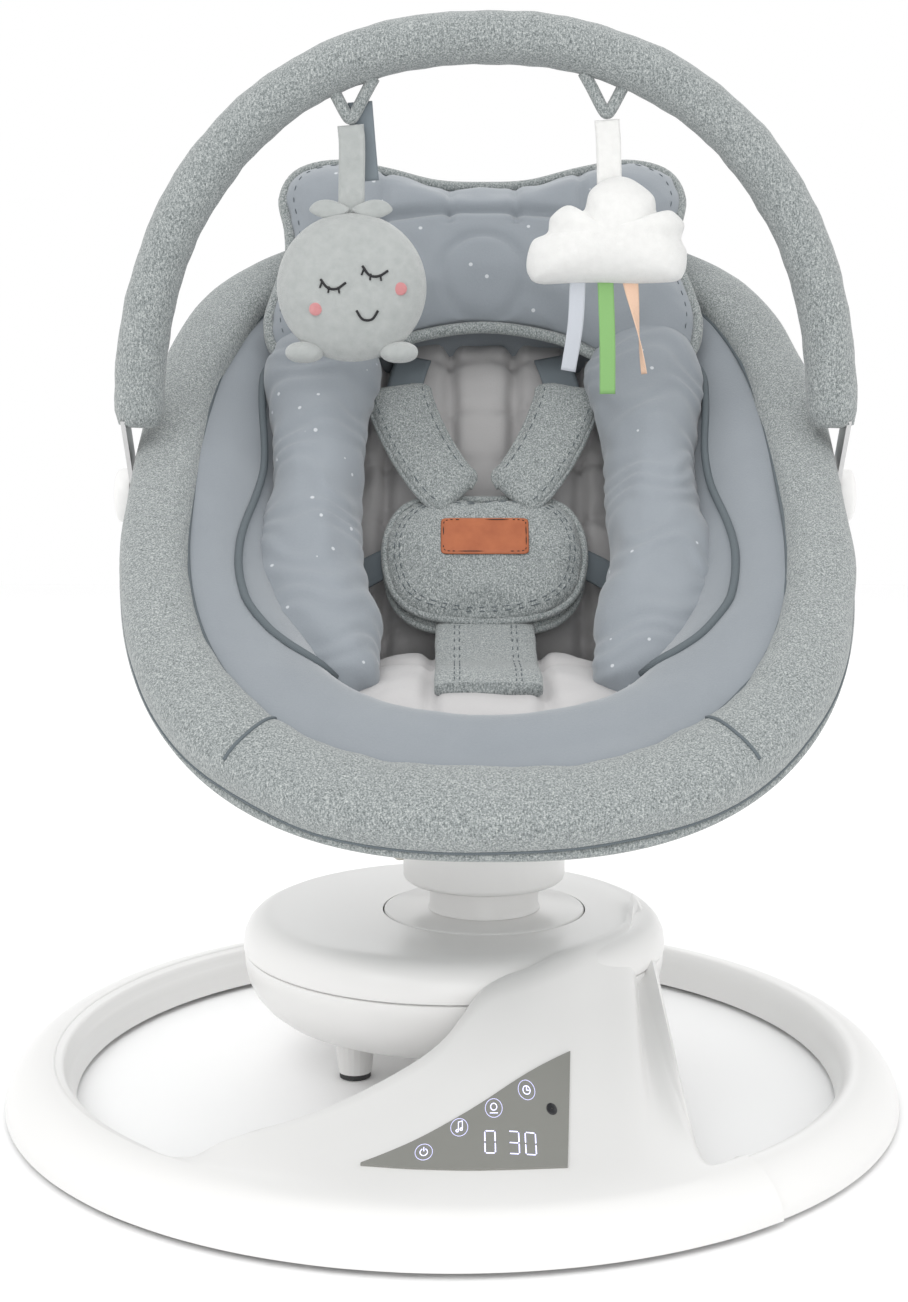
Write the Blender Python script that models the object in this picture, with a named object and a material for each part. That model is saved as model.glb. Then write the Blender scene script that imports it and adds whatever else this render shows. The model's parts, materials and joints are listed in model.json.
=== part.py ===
"""Baby swing: a floor ring and swept column carry a motor housing, whose turntable swings a padded seat.

Units are metres, +Z is up and -Y is the front. The origin is on the floor at the centre of the ring.
"""

import math

import bmesh
import bpy
from mathutils import Matrix, Vector
from mathutils.bvhtree import BVHTree

# Driving dimensions
GAP = 0.0003                    # between pieces that touch
RING_RADIUS = 0.300             # outer edge of the floor ring
RING_CREST = 0.273              # radius at the top of the ring
RING_INNER = 0.2585
RING_HEIGHT = 0.030
FLOOR_CLEARANCE = 0.003         # the rubber pads hold the shells off the floor
WALL = 0.0025                   # moulded wall
SEAM_RIGHT = math.radians(-52)  # where the column shell meets the rear ring
SEAM_REAR = math.radians(120)
HOUSING = Vector((0.0, 0.030, 0.0))
HOUSING_RADIUS = 0.147
HOUSING_TOP = 0.113
HOUSING_SPLIT = 0.0878
HOUSING_BOTTOM = 0.042
SHAFT = Vector((0.021, 0.030, 0.0))  # the vertical axis that the seat swings about
SEAT_X = SHAFT.x
DISC_RADIUS = 0.070
NECK_RADIUS = 0.038
COLLAR_RADIUS = 0.0565
COLLAR_BOTTOM = 0.1328
COLLAR_TOP = 0.176
RECLINE = Vector((SEAT_X, 0.030, 0.166))
RIM_FRONT = Vector((SEAT_X, -0.250, 0.220))
RIM_BACK = Vector((SEAT_X, 0.220, 0.590))
RIM_HALF_WIDTH = 0.234
BORDER_HALF = 0.026             # half the width of the padded border, in the plane of the rim
BORDER_THICK = 0.018            # half its thickness
BAR_PIVOT = Vector((SEAT_X, -0.005, 0.448))
BAR_HALF_WIDTH = 0.2285
BAR_RISE = 0.2475
SLEEVE_RADIUS = 0.0165
HUB = Vector((SEAT_X, 0.030, 0.400))
LEFT_TOY_X = SEAT_X - 0.088
RIGHT_TOY_X = SEAT_X + 0.078
GEAR_MODULE = 0.0015
SECTOR_TEETH = 64               # in a full turn; the sector carries a part of them
PINION_TEETH = 10
GEAR_BOTTOM = 0.1043
GEAR_TOP = 0.1078

MATERIALS = {
    "white_plastic": ((0.87, 0.86, 0.85), 0.32, 0.0),
    "black_plastic": ((0.03, 0.03, 0.03), 0.40, 0.0),
    "beige_plastic": ((0.68, 0.66, 0.60), 0.45, 0.0),
    "smoked_lens": ((0.26, 0.26, 0.24), 0.12, 0.0),
    "rubber": ((0.06, 0.06, 0.06), 0.85, 0.0),
    "steel": ((0.60, 0.60, 0.60), 0.30, 1.0),
    "gear_plastic": ((0.75, 0.72, 0.62), 0.45, 0.0),
    "circuit_board": ((0.03, 0.16, 0.07), 0.50, 0.0),
    "melange_fabric": ((0.35, 0.39, 0.38), 0.95, 0.0),
    "velvet_fabric": ((0.29, 0.33, 0.36), 0.90, 0.0),
    "starry_fabric": ((0.30, 0.34, 0.38), 0.90, 0.0),
    "pale_fabric": ((0.43, 0.42, 0.42), 0.90, 0.0),
    "webbing": ((0.18, 0.21, 0.24), 0.85, 0.0),
    "leather": ((0.38, 0.10, 0.03), 0.55, 0.0),
    "grey_plush": ((0.42, 0.44, 0.43), 0.95, 0.0),
    "white_plush": ((0.90, 0.90, 0.88), 0.95, 0.0),
    "blue_ribbon": ((0.58, 0.60, 0.65), 0.60, 0.0),
    "green_ribbon": ((0.22, 0.46, 0.15), 0.60, 0.0),
    "peach_ribbon": ((0.90, 0.60, 0.44), 0.60, 0.0),
}


# Helpers

def clear_scene():
    for obj in list(bpy.data.objects):
        bpy.data.objects.remove(obj)


def material(name):
    found = bpy.data.materials.get(name)
    if found:
        return found
    colour, roughness, metallic = MATERIALS[name]
    made = bpy.data.materials.new(name)
    made.use_nodes = True
    shader = made.node_tree.nodes["Principled BSDF"]
    shader.inputs["Base Color"].default_value = (*colour, 1)
    shader.inputs["Roughness"].default_value = roughness
    shader.inputs["Metallic"].default_value = metallic
    return made


def pivot(name, place, parent=None):
    """An empty on a joint's axis, which the pieces of that body are parented to."""
    empty = bpy.data.objects.new(name, None)
    bpy.context.scene.collection.objects.link(empty)
    empty.location = place
    if parent:
        empty.parent = parent
        empty.matrix_parent_inverse = Matrix.Translation(parent_place(parent)).inverted()
    return empty


def parent_place(obj):
    bpy.context.view_layer.update()
    return obj.matrix_world.translation.copy()


def add(name, bm, look, parent=None, smooth=35):
    """One closed piece, from a bmesh in world coordinates."""
    bmesh.ops.remove_doubles(bm, verts=bm.verts, dist=1e-6)
    bmesh.ops.recalc_face_normals(bm, faces=bm.faces)
    mesh = bpy.data.meshes.new(name)
    bm.to_mesh(mesh)
    bm.free()
    mesh.shade_smooth()
    mesh.set_sharp_from_angle(angle=math.radians(smooth))
    mesh.materials.append(material(look))
    obj = bpy.data.objects.new(name, mesh)
    bpy.context.scene.collection.objects.link(obj)
    if parent:
        obj.parent = parent
        obj.matrix_parent_inverse = Matrix.Translation(parent_place(parent)).inverted()
    return obj


def boolean(obj, cutter, operation="DIFFERENCE"):
    cutter.hide_render = True
    cutter.display_type = "WIRE"
    modifier = obj.modifiers.new(operation.lower(), "BOOLEAN")
    modifier.operation = operation
    modifier.object = cutter
    return obj


def solidify(obj, thickness, offset=-1.0):
    modifier = obj.modifiers.new("wall", "SOLIDIFY")
    modifier.thickness = thickness
    modifier.offset = offset
    modifier.use_even_offset = True
    return obj


def loft(rings, closed=False, caps=True, loop=True):
    """Quads between rings of points. closed joins the last ring to the first; loop closes each ring."""
    bm = bmesh.new()
    made = [[bm.verts.new(p) for p in ring] for ring in rings]
    spans = len(made) if closed else len(made) - 1
    count = len(made[0])
    for i in range(spans):
        low, high = made[i], made[(i + 1) % len(made)]
        for j in range(count if loop else count - 1):
            k = (j + 1) % count
            bm.faces.new((low[j], low[k], high[k], high[j]))
    if caps and not closed:
        bm.faces.new(made[0])
        bm.faces.new(made[-1])
    return bm


def turned(profile, centre, segments=32):
    """A closed profile of (radius, height) turned about a vertical axis."""
    rings = []
    for i in range(segments):
        angle = 2 * math.pi * i / segments
        rings.append([
            Vector((centre.x + r * math.cos(angle), centre.y + r * math.sin(angle), centre.z + z))
            for r, z in profile
        ])
    return loft(rings, closed=True)


def cylinder(start, end, radius, segments=24, end_radius=None):
    start, end = Vector(start), Vector(end)
    axis = end - start
    turn = axis.to_track_quat("Z", "Y")
    rings = []
    for place, size in ((start, radius), (end, radius if end_radius is None else end_radius)):
        rings.append([
            place + turn @ Vector((size * math.cos(a), size * math.sin(a), 0))
            for a in (2 * math.pi * i / segments for i in range(segments))
        ])
    return loft(rings)


def tube(start, end, outer, inner, segments=24):
    """A straight sleeve with an open bore."""
    start, end = Vector(start), Vector(end)
    turn = (end - start).to_track_quat("Z", "Y")
    rings = []
    for i in range(segments):
        a = 2 * math.pi * i / segments
        arm = turn @ Vector((math.cos(a), math.sin(a), 0))
        rings.append([start + arm * inner, start + arm * outer, end + arm * outer, end + arm * inner])
    return loft(rings, closed=True)


def block(centre, size, turn=None, bevel=0.0):
    """A box of this size, turned and with its edges rounded off."""
    bm = bmesh.new()
    bmesh.ops.create_cube(bm, size=1.0)
    bmesh.ops.scale(bm, vec=Vector(size), verts=bm.verts)
    if bevel:
        bmesh.ops.bevel(bm, geom=bm.edges[:], offset=bevel, segments=1, affect="EDGES")
    place = Matrix.Translation(Vector(centre)) @ (turn.to_4x4() if turn else Matrix())
    bmesh.ops.transform(bm, matrix=place, verts=bm.verts)
    return bm


def rounded(angle, power):
    """A point of the unit superellipse."""
    c, s = math.cos(angle), math.sin(angle)
    return (
        math.copysign(abs(c) ** (2 / power), c),
        math.copysign(abs(s) ** (2 / power), s),
    )


def pad(centre, across, along, half_width, half_length, half_thick, power=3.0, segments=20):
    """A crowned cushion: superellipse outlines stacked through its thickness."""
    across, along = Vector(across).normalized(), Vector(along).normalized()
    normal = across.cross(along)
    levels = ((-1.0, 0.80), (-0.55, 0.97), (0.55, 0.97), (1.0, 0.80))
    rings = []
    for height, size in levels:
        rings.append([
            Vector(centre) + across * half_width * size * x + along * half_length * size * y
            + normal * half_thick * height
            for x, y in (rounded(2 * math.pi * i / segments, power) for i in range(segments))
        ])
    return loft(rings)


def swept(path, radius, sides=10, squash=1.0, closed=False):
    """A tube along a path of points, with flat ends."""
    path = [Vector(p) for p in path]
    count = len(path)
    rings = []
    side = None
    for i, place in enumerate(path):
        before = path[i - 1] if i or closed else place
        after = path[(i + 1) % count] if i < count - 1 or closed else place
        along = (after - before).normalized()
        if side is None:
            side = along.orthogonal().normalized()
        side = (side - along * side.dot(along)).normalized()
        up = along.cross(side)
        rings.append([
            place + side * radius * math.cos(a) + up * radius * squash * math.sin(a)
            for a in (2 * math.pi * j / sides for j in range(sides))
        ])
    return loft(rings, closed=closed)


def ribbon(path, across, half_width, thick):
    """A flat strap along a path, with its width along across."""
    path = [Vector(p) for p in path]
    across = Vector(across).normalized()
    rings = []
    for i, place in enumerate(path):
        along = (path[min(i + 1, len(path) - 1)] - path[max(i - 1, 0)]).normalized()
        normal = along.cross(across).normalized()
        wide = across * half_width
        deep = normal * thick / 2
        rings.append([place - wide - deep, place + wide - deep, place + wide + deep, place - wide + deep])
    return loft(rings)


def bezier(a, b, c, t):
    return a * (1 - t) ** 2 + b * 2 * t * (1 - t) + c * t ** 2


# Base

def ring_profile():
    """The outer skin of the ring, from its outer foot over the crest to its inner foot."""
    return [
        (RING_RADIUS, FLOOR_CLEARANCE),
        (0.2983, 0.011),
        (0.2925, 0.0200),
        (0.2835, 0.0270),
        (RING_CREST, RING_HEIGHT),
        (0.2660, 0.0270),
        (0.2610, 0.0185),
        (RING_INNER, FLOOR_CLEARANCE),
    ]


def at(angle, radius, height):
    return Vector((radius * math.cos(angle), radius * math.sin(angle), height))


def make_rear_ring():
    steps = 24
    span = SEAM_REAR - SEAM_RIGHT
    clear = GAP / RING_RADIUS
    rings = []
    for i in range(steps + 1):
        angle = SEAM_RIGHT + clear + (span - 2 * clear) * i / steps
        rings.append([at(angle, r, z) for r, z in ring_profile()])
    return solidify(add("rear_ring", loft(rings, caps=False, loop=False), "white_plastic"), WALL)


def column_top_edge():
    """Stations of the column: the ring angle, and the point that its front face rises to."""
    hug = HOUSING_RADIUS + 0.0012

    def beside(degrees, height):
        a = math.radians(degrees)
        return HOUSING + Vector((hug * math.cos(a), hug * math.sin(a), height))

    return [
        (-120, Vector((-0.130, -0.203, 0.035))),
        (-112, Vector((-0.089, -0.190, 0.043))),
        (-104, Vector((-0.048, -0.172, 0.055))),
        (-97, Vector((-0.008, -0.148, 0.073))),
        (-91, beside(-82, 0.098)),
        (-85, beside(-70, 0.105)),
        (-79, beside(-56, 0.106)),
        (-73, beside(-42, 0.106)),
        (-67, beside(-26, 0.105)),
        (-61.5, beside(-8, 0.102)),
    ]


def column_station(degrees, top):
    """The skin at one station: up the ring's outside, up the ramp, and down behind to the ring's inside."""
    angle = math.radians(degrees)
    profile = ring_profile()
    crest = at(angle, *profile[4])
    rise = top.z - RING_HEIGHT
    control = crest * 0.55 + top * 0.45
    control.z = RING_HEIGHT + rise * 0.14
    if degrees > -65:
        control.x -= 0.020
    ramp = [bezier(crest, control, top, t) for t in (0.2, 0.4, 0.6, 0.8, 1.0)]
    foot = at(angle, *profile[-1])
    behind = top.lerp(foot, 0.06)
    behind.z = top.z - rise * 0.45
    under = top.lerp(foot, 0.30)
    under.z = FLOOR_CLEARANCE + max(0.012, rise * 0.32)
    low = top.lerp(foot, 0.80)
    low.z = FLOOR_CLEARANCE + 0.006
    return [at(angle, r, z) for r, z in profile[:5]] + ramp + [behind, under, low, foot]


def ring_station(degrees):
    """The ring's own skin, with as many points as a column station has."""
    angle = math.radians(degrees)
    profile = ring_profile()
    outer = [at(angle, r, z) for r, z in profile[:5]]
    inner = [Vector(at(angle, r, z)) for r, z in profile[4:]]
    points = []
    for i in range(1, 10):
        t = i / 9 * (len(inner) - 1)
        k = min(int(t), len(inner) - 2)
        points.append(inner[k].lerp(inner[k + 1], t - k))
    return outer + points


def make_column():
    rear = math.degrees(SEAM_REAR)
    left = [rear + (226 - rear) * i / 14 for i in range(15)]
    rings = [ring_station(angle) for angle in left]
    rings.append(ring_station(232.5))
    rings += [column_station(angle, top) for angle, top in column_top_edge()]
    rings.append(ring_station(-57.5))
    rings.append(ring_station(math.degrees(SEAM_RIGHT)))
    return solidify(add("column_shell", loft(rings, caps=False, loop=False), "white_plastic"), WALL)


def make_ring_cover():
    inner, outer = RING_INNER + WALL + 0.0012, RING_RADIUS - WALL - 0.0012
    low, high = FLOOR_CLEARANCE + 0.0003, FLOOR_CLEARANCE + 0.0021
    profile = [(inner, low), (outer, low), (outer, high), (inner, high)]
    return add("ring_bottom_cover", turned(profile, Vector(), 48), "white_plastic")


def make_ring_pads():
    radius = (RING_INNER + RING_RADIUS) / 2
    for number, degrees in enumerate((-135, -45, 45, 135), 1):
        place = at(math.radians(degrees), radius, 0)
        top = place + Vector((0, 0, FLOOR_CLEARANCE))
        add(f"ring_pad_{number}", cylinder(place, top, 0.011, 14), "rubber")


def make_housing():
    bottom = HOUSING_SPLIT + GAP
    profile = [
        (0.0, HOUSING_TOP - WALL),
        (0.125, HOUSING_TOP - WALL),
        (0.1370, 0.1075),
        (0.1430, 0.1010),
        (0.1445, bottom),
        (HOUSING_RADIUS, bottom),
        (0.1465, 0.0990),
        (0.1410, 0.1075),
        (0.1300, 0.1120),
        (0.115, HOUSING_TOP),
        (0.0, HOUSING_TOP),
    ]
    cover = add("housing_top_cover", turned_cap(profile, HOUSING), "white_plastic")
    hole = cylinder(SHAFT + Vector((0, 0, 0.10)), SHAFT + Vector((0, 0, 0.12)), DISC_RADIUS + 0.001, 32)
    boolean(cover, add("turntable_opening", hole, "white_plastic"))

    mouth = 0.0925
    outer = [
        (mouth, HOUSING_BOTTOM),
        (0.112, HOUSING_BOTTOM),
        (0.129, 0.0470),
        (0.1415, 0.0600),
        (0.1465, 0.0760),
        (0.1468, HOUSING_SPLIT),
    ]
    inner = [(0.1443, HOUSING_SPLIT), (0.1440, 0.0765), (0.1392, 0.0615), (0.1275, 0.0493),
             (0.1115, 0.0445), (mouth, 0.0445)]
    bowl = add("housing_bowl", turned(outer + inner, HOUSING), "white_plastic")
    back = HOUSING + Vector((0, HOUSING_RADIUS, 0.072))
    hole = cylinder(back + Vector((0, -0.020, 0)), back + Vector((0, 0.010, 0)), 0.0062, 16)
    boolean(bowl, add("inlet_hole", hole, "white_plastic"))
    inlet = tube(back + Vector((0, -0.016, 0)), back + Vector((0, 0.0005, 0)), 0.0058, 0.0035, 16)
    add("power_inlet", inlet, "black_plastic")


def turned_cap(profile, centre, segments=36):
    """A closed turned piece, from a profile that starts and ends on the axis."""
    rings = []
    for i in range(segments):
        angle = 2 * math.pi * i / segments
        rings.append([
            Vector((centre.x + r * math.cos(angle), centre.y + r * math.sin(angle), centre.z + z))
            for r, z in profile
        ])
    return loft(rings, closed=True, loop=False)


def make_housing_bottom():
    low, high = HOUSING_BOTTOM + GAP, HOUSING_BOTTOM + WALL
    cover = cylinder(HOUSING + Vector((0, 0, low)), HOUSING + Vector((0, 0, high)), 0.0920, 36)
    cover = add("housing_bottom_cover", cover, "white_plastic")
    post = tube(SHAFT + Vector((0, 0, low + 0.001)), SHAFT + Vector((0, 0, 0.1040)), 0.0200, 0.0165)
    boolean(cover, add("bearing_post", post, "white_plastic"), "UNION")
    a = math.radians(-72)
    place = HOUSING + Vector((0.084 * math.cos(a), 0.084 * math.sin(a), low - GAP))
    add("cover_screw", cylinder(place - Vector((0, 0, 0.0015)), place, 0.0032, 12), "steel")
    foot = Vector((-0.0685, 0.0, 0.0))
    pad_top = Vector((0, 0, 0.0035))
    add("support_foot", cylinder(foot + pad_top + Vector((0, 0, GAP)), foot + Vector((0, 0, low - GAP)),
                                 0.0115, 20, end_radius=0.0155), "white_plastic")
    add("support_foot_pad", cylinder(foot, foot + pad_top, 0.0108, 16), "rubber")


def gear_rings(centre, teeth, first, last, low, high, phase=0.0, hub=None):
    """A spur gear's outline, or a sector of one between two tooth numbers, extruded."""
    pitch_radius = GEAR_MODULE * teeth / 2
    tip, root = pitch_radius + 0.8 * GEAR_MODULE, pitch_radius - 1.1 * GEAR_MODULE
    step = 2 * math.pi / teeth
    outline = []
    for tooth in range(first, last):
        middle = phase + tooth * step
        for turn, radius in ((-0.30, root), (-0.13, tip), (0.13, tip), (0.30, root)):
            a = middle + turn * step
            outline.append((radius * math.cos(a), radius * math.sin(a)))
    if hub:
        end, start = phase + (last - 0.3) * step, phase + (first - 0.7) * step + 2 * math.pi
        turns = [end + (start - end) * i / 8 for i in range(9)]
        outline += [(hub * math.cos(a), hub * math.sin(a)) for a in turns]
    return [[Vector((centre.x + x, centre.y + y, z)) for x, y in outline] for z in (low, high)]


def make_drive(swing):
    """The shaft in its bearings, and the motor that rocks it through a pinion and a sector gear."""
    def up(z):
        return SHAFT + Vector((0, 0, z))

    add("lower_bearing", tube(up(0.0460), up(0.0530), 0.0162, 0.0083), "steel")
    add("upper_bearing", tube(up(0.0965), up(0.1035), 0.0162, 0.0083), "steel")
    add("main_shaft", cylinder(up(0.0450), up(0.1085), 0.0080, 20), "steel", swing)
    half = 6
    sector = add("sector_gear", loft(gear_rings(SHAFT, SECTOR_TEETH, 32 - half, 33 + half,
                                                GEAR_BOTTOM, GEAR_TOP, hub=0.014)), "gear_plastic", swing)
    bore = cylinder(up(GEAR_BOTTOM - 0.002), up(GEAR_TOP + 0.002), 0.0083, 20)
    boolean(sector, add("sector_bore", bore, "gear_plastic"))
    between = GEAR_MODULE * (SECTOR_TEETH + PINION_TEETH) / 2
    motor_place = SHAFT - Vector((between, 0, 0))
    spin = pivot("pinion_axis", motor_place)
    pinion = gear_rings(motor_place, PINION_TEETH, 0, PINION_TEETH, GEAR_BOTTOM, GEAR_TOP,
                        phase=math.pi / PINION_TEETH)
    add("pinion", loft(pinion), "gear_plastic", spin)
    base = HOUSING_BOTTOM + WALL + GAP
    motor_low, motor_high = (motor_place + Vector((0, 0, z)) for z in (base, 0.1035))
    add("motor", cylinder(motor_low, motor_high, 0.0175, 20), "steel")
    speaker = HOUSING + Vector((0.045, 0.045, base))
    add("speaker", cylinder(speaker, speaker + Vector((0, 0, 0.016)), 0.017, 18), "black_plastic")


def make_panel(column):
    """The glossy triangular lens on the ramp, with the dark infrared window and the electronics below."""
    bpy.context.view_layer.update()
    tree = BVHTree.FromObject(column, bpy.context.evaluated_depsgraph_get())

    def drop(x, y, lift):
        hit = tree.ray_cast(Vector((x, y, 0.3)), Vector((0, 0, -1)))
        return hit[0] + hit[1] * lift

    left, top, right = Vector((-0.062, -0.236)), Vector((0.070, -0.152)), Vector((0.063, -0.240))
    rows = 8
    grid = []
    for i in range(rows + 1):
        t = 0.06 + 0.94 * i / rows
        high = left.lerp(top, t) - Vector((0, 0.006 * math.sin(math.pi * t)))
        low = left.lerp(right, t) - Vector((0, 0.006 * math.sin(math.pi * t)))
        grid.append([high.lerp(low, j / 4) for j in range(5)])
    rings = []
    for lane in grid:
        over = [drop(p.x, p.y, 0.0020) for p in lane]
        under = [drop(p.x, p.y, 0.0008) for p in reversed(lane)]
        rings.append(over + under)
    add("panel_lens", loft(rings), "smoked_lens", smooth=50)
    eye, eye_up = drop(0.0575, -0.193, 0.0023), drop(0.0575, -0.193, 0.0031)
    add("infrared_window", cylinder(eye, eye_up, 0.0042, 14), "black_plastic")
    lean = Matrix.Rotation(math.radians(24), 3, "X")
    add("circuit_board", block((0.030, -0.186, 0.0395), (0.070, 0.050, 0.0016), lean), "circuit_board")
    add("display_module", block((0.038, -0.190, 0.0425), (0.040, 0.016, 0.0040), lean), "black_plastic")


# Turntable, collar and recline

def make_turntable(swing):
    def up(z):
        return SHAFT + Vector((0, 0, z))

    add("turntable_disc", cylinder(up(0.1088), up(0.1125), DISC_RADIUS, 36), "white_plastic", swing)
    add("neck", cylinder(up(0.1128), up(COLLAR_BOTTOM - GAP), NECK_RADIUS, 28), "white_plastic", swing)
    floor, wall = COLLAR_BOTTOM + 0.004, COLLAR_RADIUS - 0.0035
    profile = [
        (0.0, COLLAR_BOTTOM),
        (COLLAR_RADIUS - 0.004, COLLAR_BOTTOM),
        (COLLAR_RADIUS, COLLAR_BOTTOM + 0.004),
        (COLLAR_RADIUS, COLLAR_TOP),
        (wall, COLLAR_TOP),
        (wall, floor),
        (0.0, floor),
    ]
    collar = add("collar", turned_cap(profile, SHAFT, 32), "white_plastic", swing)
    slot = block((SHAFT.x - COLLAR_RADIUS, SHAFT.y, 0.1545), (0.020, 0.0126, 0.0186))
    boolean(collar, add("tab_slot", slot, "white_plastic"))
    foot, ear, top = floor + GAP, 0.0405, 0.1755
    outline = [(-ear, foot), (ear, foot), (ear, top), (ear - 0.004, top), (ear - 0.004, foot + 0.003),
               (0.004 - ear, foot + 0.003), (0.004 - ear, top), (-ear, top)]
    rings = [[Vector((SHAFT.x + x, SHAFT.y + y, z)) for x, z in outline] for y in (-0.015, 0.015)]
    bracket = add("recline_bracket", loft(rings), "steel", swing)
    hole = cylinder(RECLINE - Vector((0.05, 0, 0)), RECLINE + Vector((0.05, 0, 0)), 0.0044, 14)
    boolean(bracket, add("bracket_bore", hole, "steel"))
    pin = cylinder(RECLINE - Vector((0.044, 0, 0)), RECLINE + Vector((0.044, 0, 0)), 0.0040, 14)
    add("recline_pin", pin, "steel", swing)


def make_lock_tab(tab):
    place = Vector((SHAFT.x - COLLAR_RADIUS - 0.001, SHAFT.y, 0.1545))
    body = block(place, (0.017, 0.0115, 0.0175), bevel=0.0015)
    add("lock_tab", body, "beige_plastic", tab)


def make_seat_mount(seat):
    """The knuckle that turns on the recline pin and carries the seat."""
    a, b = RECLINE - Vector((0.036, 0, 0)), RECLINE + Vector((0.036, 0, 0))
    bore = 0.0044
    count = 20
    outline = []
    for i in range(count + 1):
        angle = math.pi + math.pi * i / count
        outline.append((0.018 * math.cos(angle), 0.018 * math.sin(angle)))
    outline += [(0.022, 0.0205), (-0.022, 0.0205)]
    rings = [[Vector((x, RECLINE.y + y, RECLINE.z + z)) for y, z in outline] for x in (a.x, b.x)]
    mount = add("seat_mount", loft(rings), "white_plastic", seat)
    hole = cylinder(a - Vector((0.01, 0, 0)), b + Vector((0.01, 0, 0)), bore, 14)
    boolean(mount, add("mount_bore", hole, "white_plastic"))


# Seat

def rim_point(angle, inset=0.0, below=0.0, front=RIM_FRONT, back=RIM_BACK, half=RIM_HALF_WIDTH):
    """A point of the egg-shaped rim: angle 0 is its top, pi its front. below is square to its plane."""
    along = (back - front).normalized()
    down = along.cross(Vector((1, 0, 0)))
    if down.z > 0:
        down = -down
    length = (back - front).length / 2
    power = 3.1 if math.cos(angle) > 0 else 2.5
    y, x = rounded(angle, power)
    middle = (front + back) / 2
    return middle + along * (length - inset) * y + Vector((half - inset, 0, 0)) * x + down * below


def seat_levels():
    """The outside of the tub, from its rim down: its front and back points, and its half width."""
    return [
        ((-0.2290, 0.2120), (0.2240, 0.5680), 0.222),
        ((-0.2020, 0.2060), (0.2430, 0.5200), 0.220),
        ((-0.1600, 0.2015), (0.2480, 0.4500), 0.212),
        ((-0.1150, 0.1970), (0.2350, 0.3800), 0.190),
        ((-0.0700, 0.1935), (0.2000, 0.3050), 0.155),
        ((-0.0300, 0.1905), (0.1500, 0.2450), 0.105),
        ((0.0000, 0.1885), (0.0850, 0.2020), 0.055),
    ]


def tub_rings(inset, first=0, last=None, segments=32):
    rings = []
    for (fy, fz), (by, bz), half in seat_levels()[first:last]:
        front, back = Vector((SEAT_X, fy, fz)), Vector((SEAT_X, by, bz))
        rings.append([
            rim_point(2 * math.pi * i / segments, inset, -inset, front, back, half)
            for i in range(segments)
        ])
    return rings


def make_tub(seat):
    bm = loft(tub_rings(0.0), caps=False)
    bm.verts.ensure_lookup_table()
    bm.faces.new(bm.verts[-32:])
    shell = add("seat_shell", bm, "melange_fabric", seat, smooth=60)
    solidify(shell, 0.004)
    bm = loft(tub_rings(0.020, 1), caps=False)
    bm.verts.ensure_lookup_table()
    bm.faces.new(bm.verts[-32:])
    solidify(add("seat_liner", bm, "velvet_fabric", seat, smooth=60), 0.008)
    segments = 40
    rings = []
    for i in range(segments):
        angle = 2 * math.pi * i / segments
        rings.append([
            rim_point(angle, BORDER_HALF * (1 - math.cos(a)), -BORDER_THICK * math.sin(a))
            for a in (2 * math.pi * j / 8 for j in range(8))
        ])
    add("seat_border", loft(rings, closed=True), "melange_fabric", seat, smooth=80)
    hoop = [rim_point(2 * math.pi * i / 36, 0.0300, 0.0240) for i in range(36)]
    add("seat_frame_hoop", swept(hoop, 0.0045, 6, closed=True), "steel", seat)
    return shell


def side_view(y, z):
    return Vector((SEAT_X, y, z))


def make_padding(seat):
    """The cushions in the tub: backrest, seat, front band, two bolsters and the head pillow."""
    across = Vector((1, 0, 0))

    def cushion(name, low, high, half_width, thick, look, power=3.0, shift=0.0, segments=20):
        low, high = side_view(*low), side_view(*high)
        centre = (low + high) / 2 + across * shift
        bm = pad(centre, across, high - low, half_width, (high - low).length / 2, thick / 2, power, segments)
        return add(name, bm, look, seat, smooth=60)

    cushion("backrest_pad", (0.062, 0.290), (0.178, 0.505), 0.100, 0.020, "pale_fabric", 5.0)
    cushion("seat_pad", (-0.122, 0.2535), (0.035, 0.2595), 0.098, 0.030, "pale_fabric", 4.0)
    for name, side in (("bolster_left", -1), ("bolster_right", 1)):
        path = [Vector((SEAT_X + side * w, y, z)) for w, y, z in (
            (0.118, -0.060, 0.278),
            (0.122, -0.018, 0.330),
            (0.124, 0.030, 0.395),
            (0.120, 0.066, 0.444),
            (0.108, 0.092, 0.478),
        )]
        rings = []
        for i, (place, size) in enumerate(zip(path, (0.62, 0.95, 1.0, 0.95, 0.62))):
            along = (path[min(i + 1, 4)] - path[max(i - 1, 0)]).normalized()
            out = Vector((1, 0, 0))
            deep = along.cross(out).normalized()
            rings.append([
                place + out * 0.031 * size * math.cos(a) + deep * 0.024 * size * math.sin(a)
                for a in (2 * math.pi * j / 12 for j in range(12))
            ])
        add(name, loft(rings), "starry_fabric", seat, smooth=80)
    cushion("head_pillow", (0.093, 0.487), (0.178, 0.640), 0.152, 0.026, "starry_fabric", 3.2)


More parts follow.
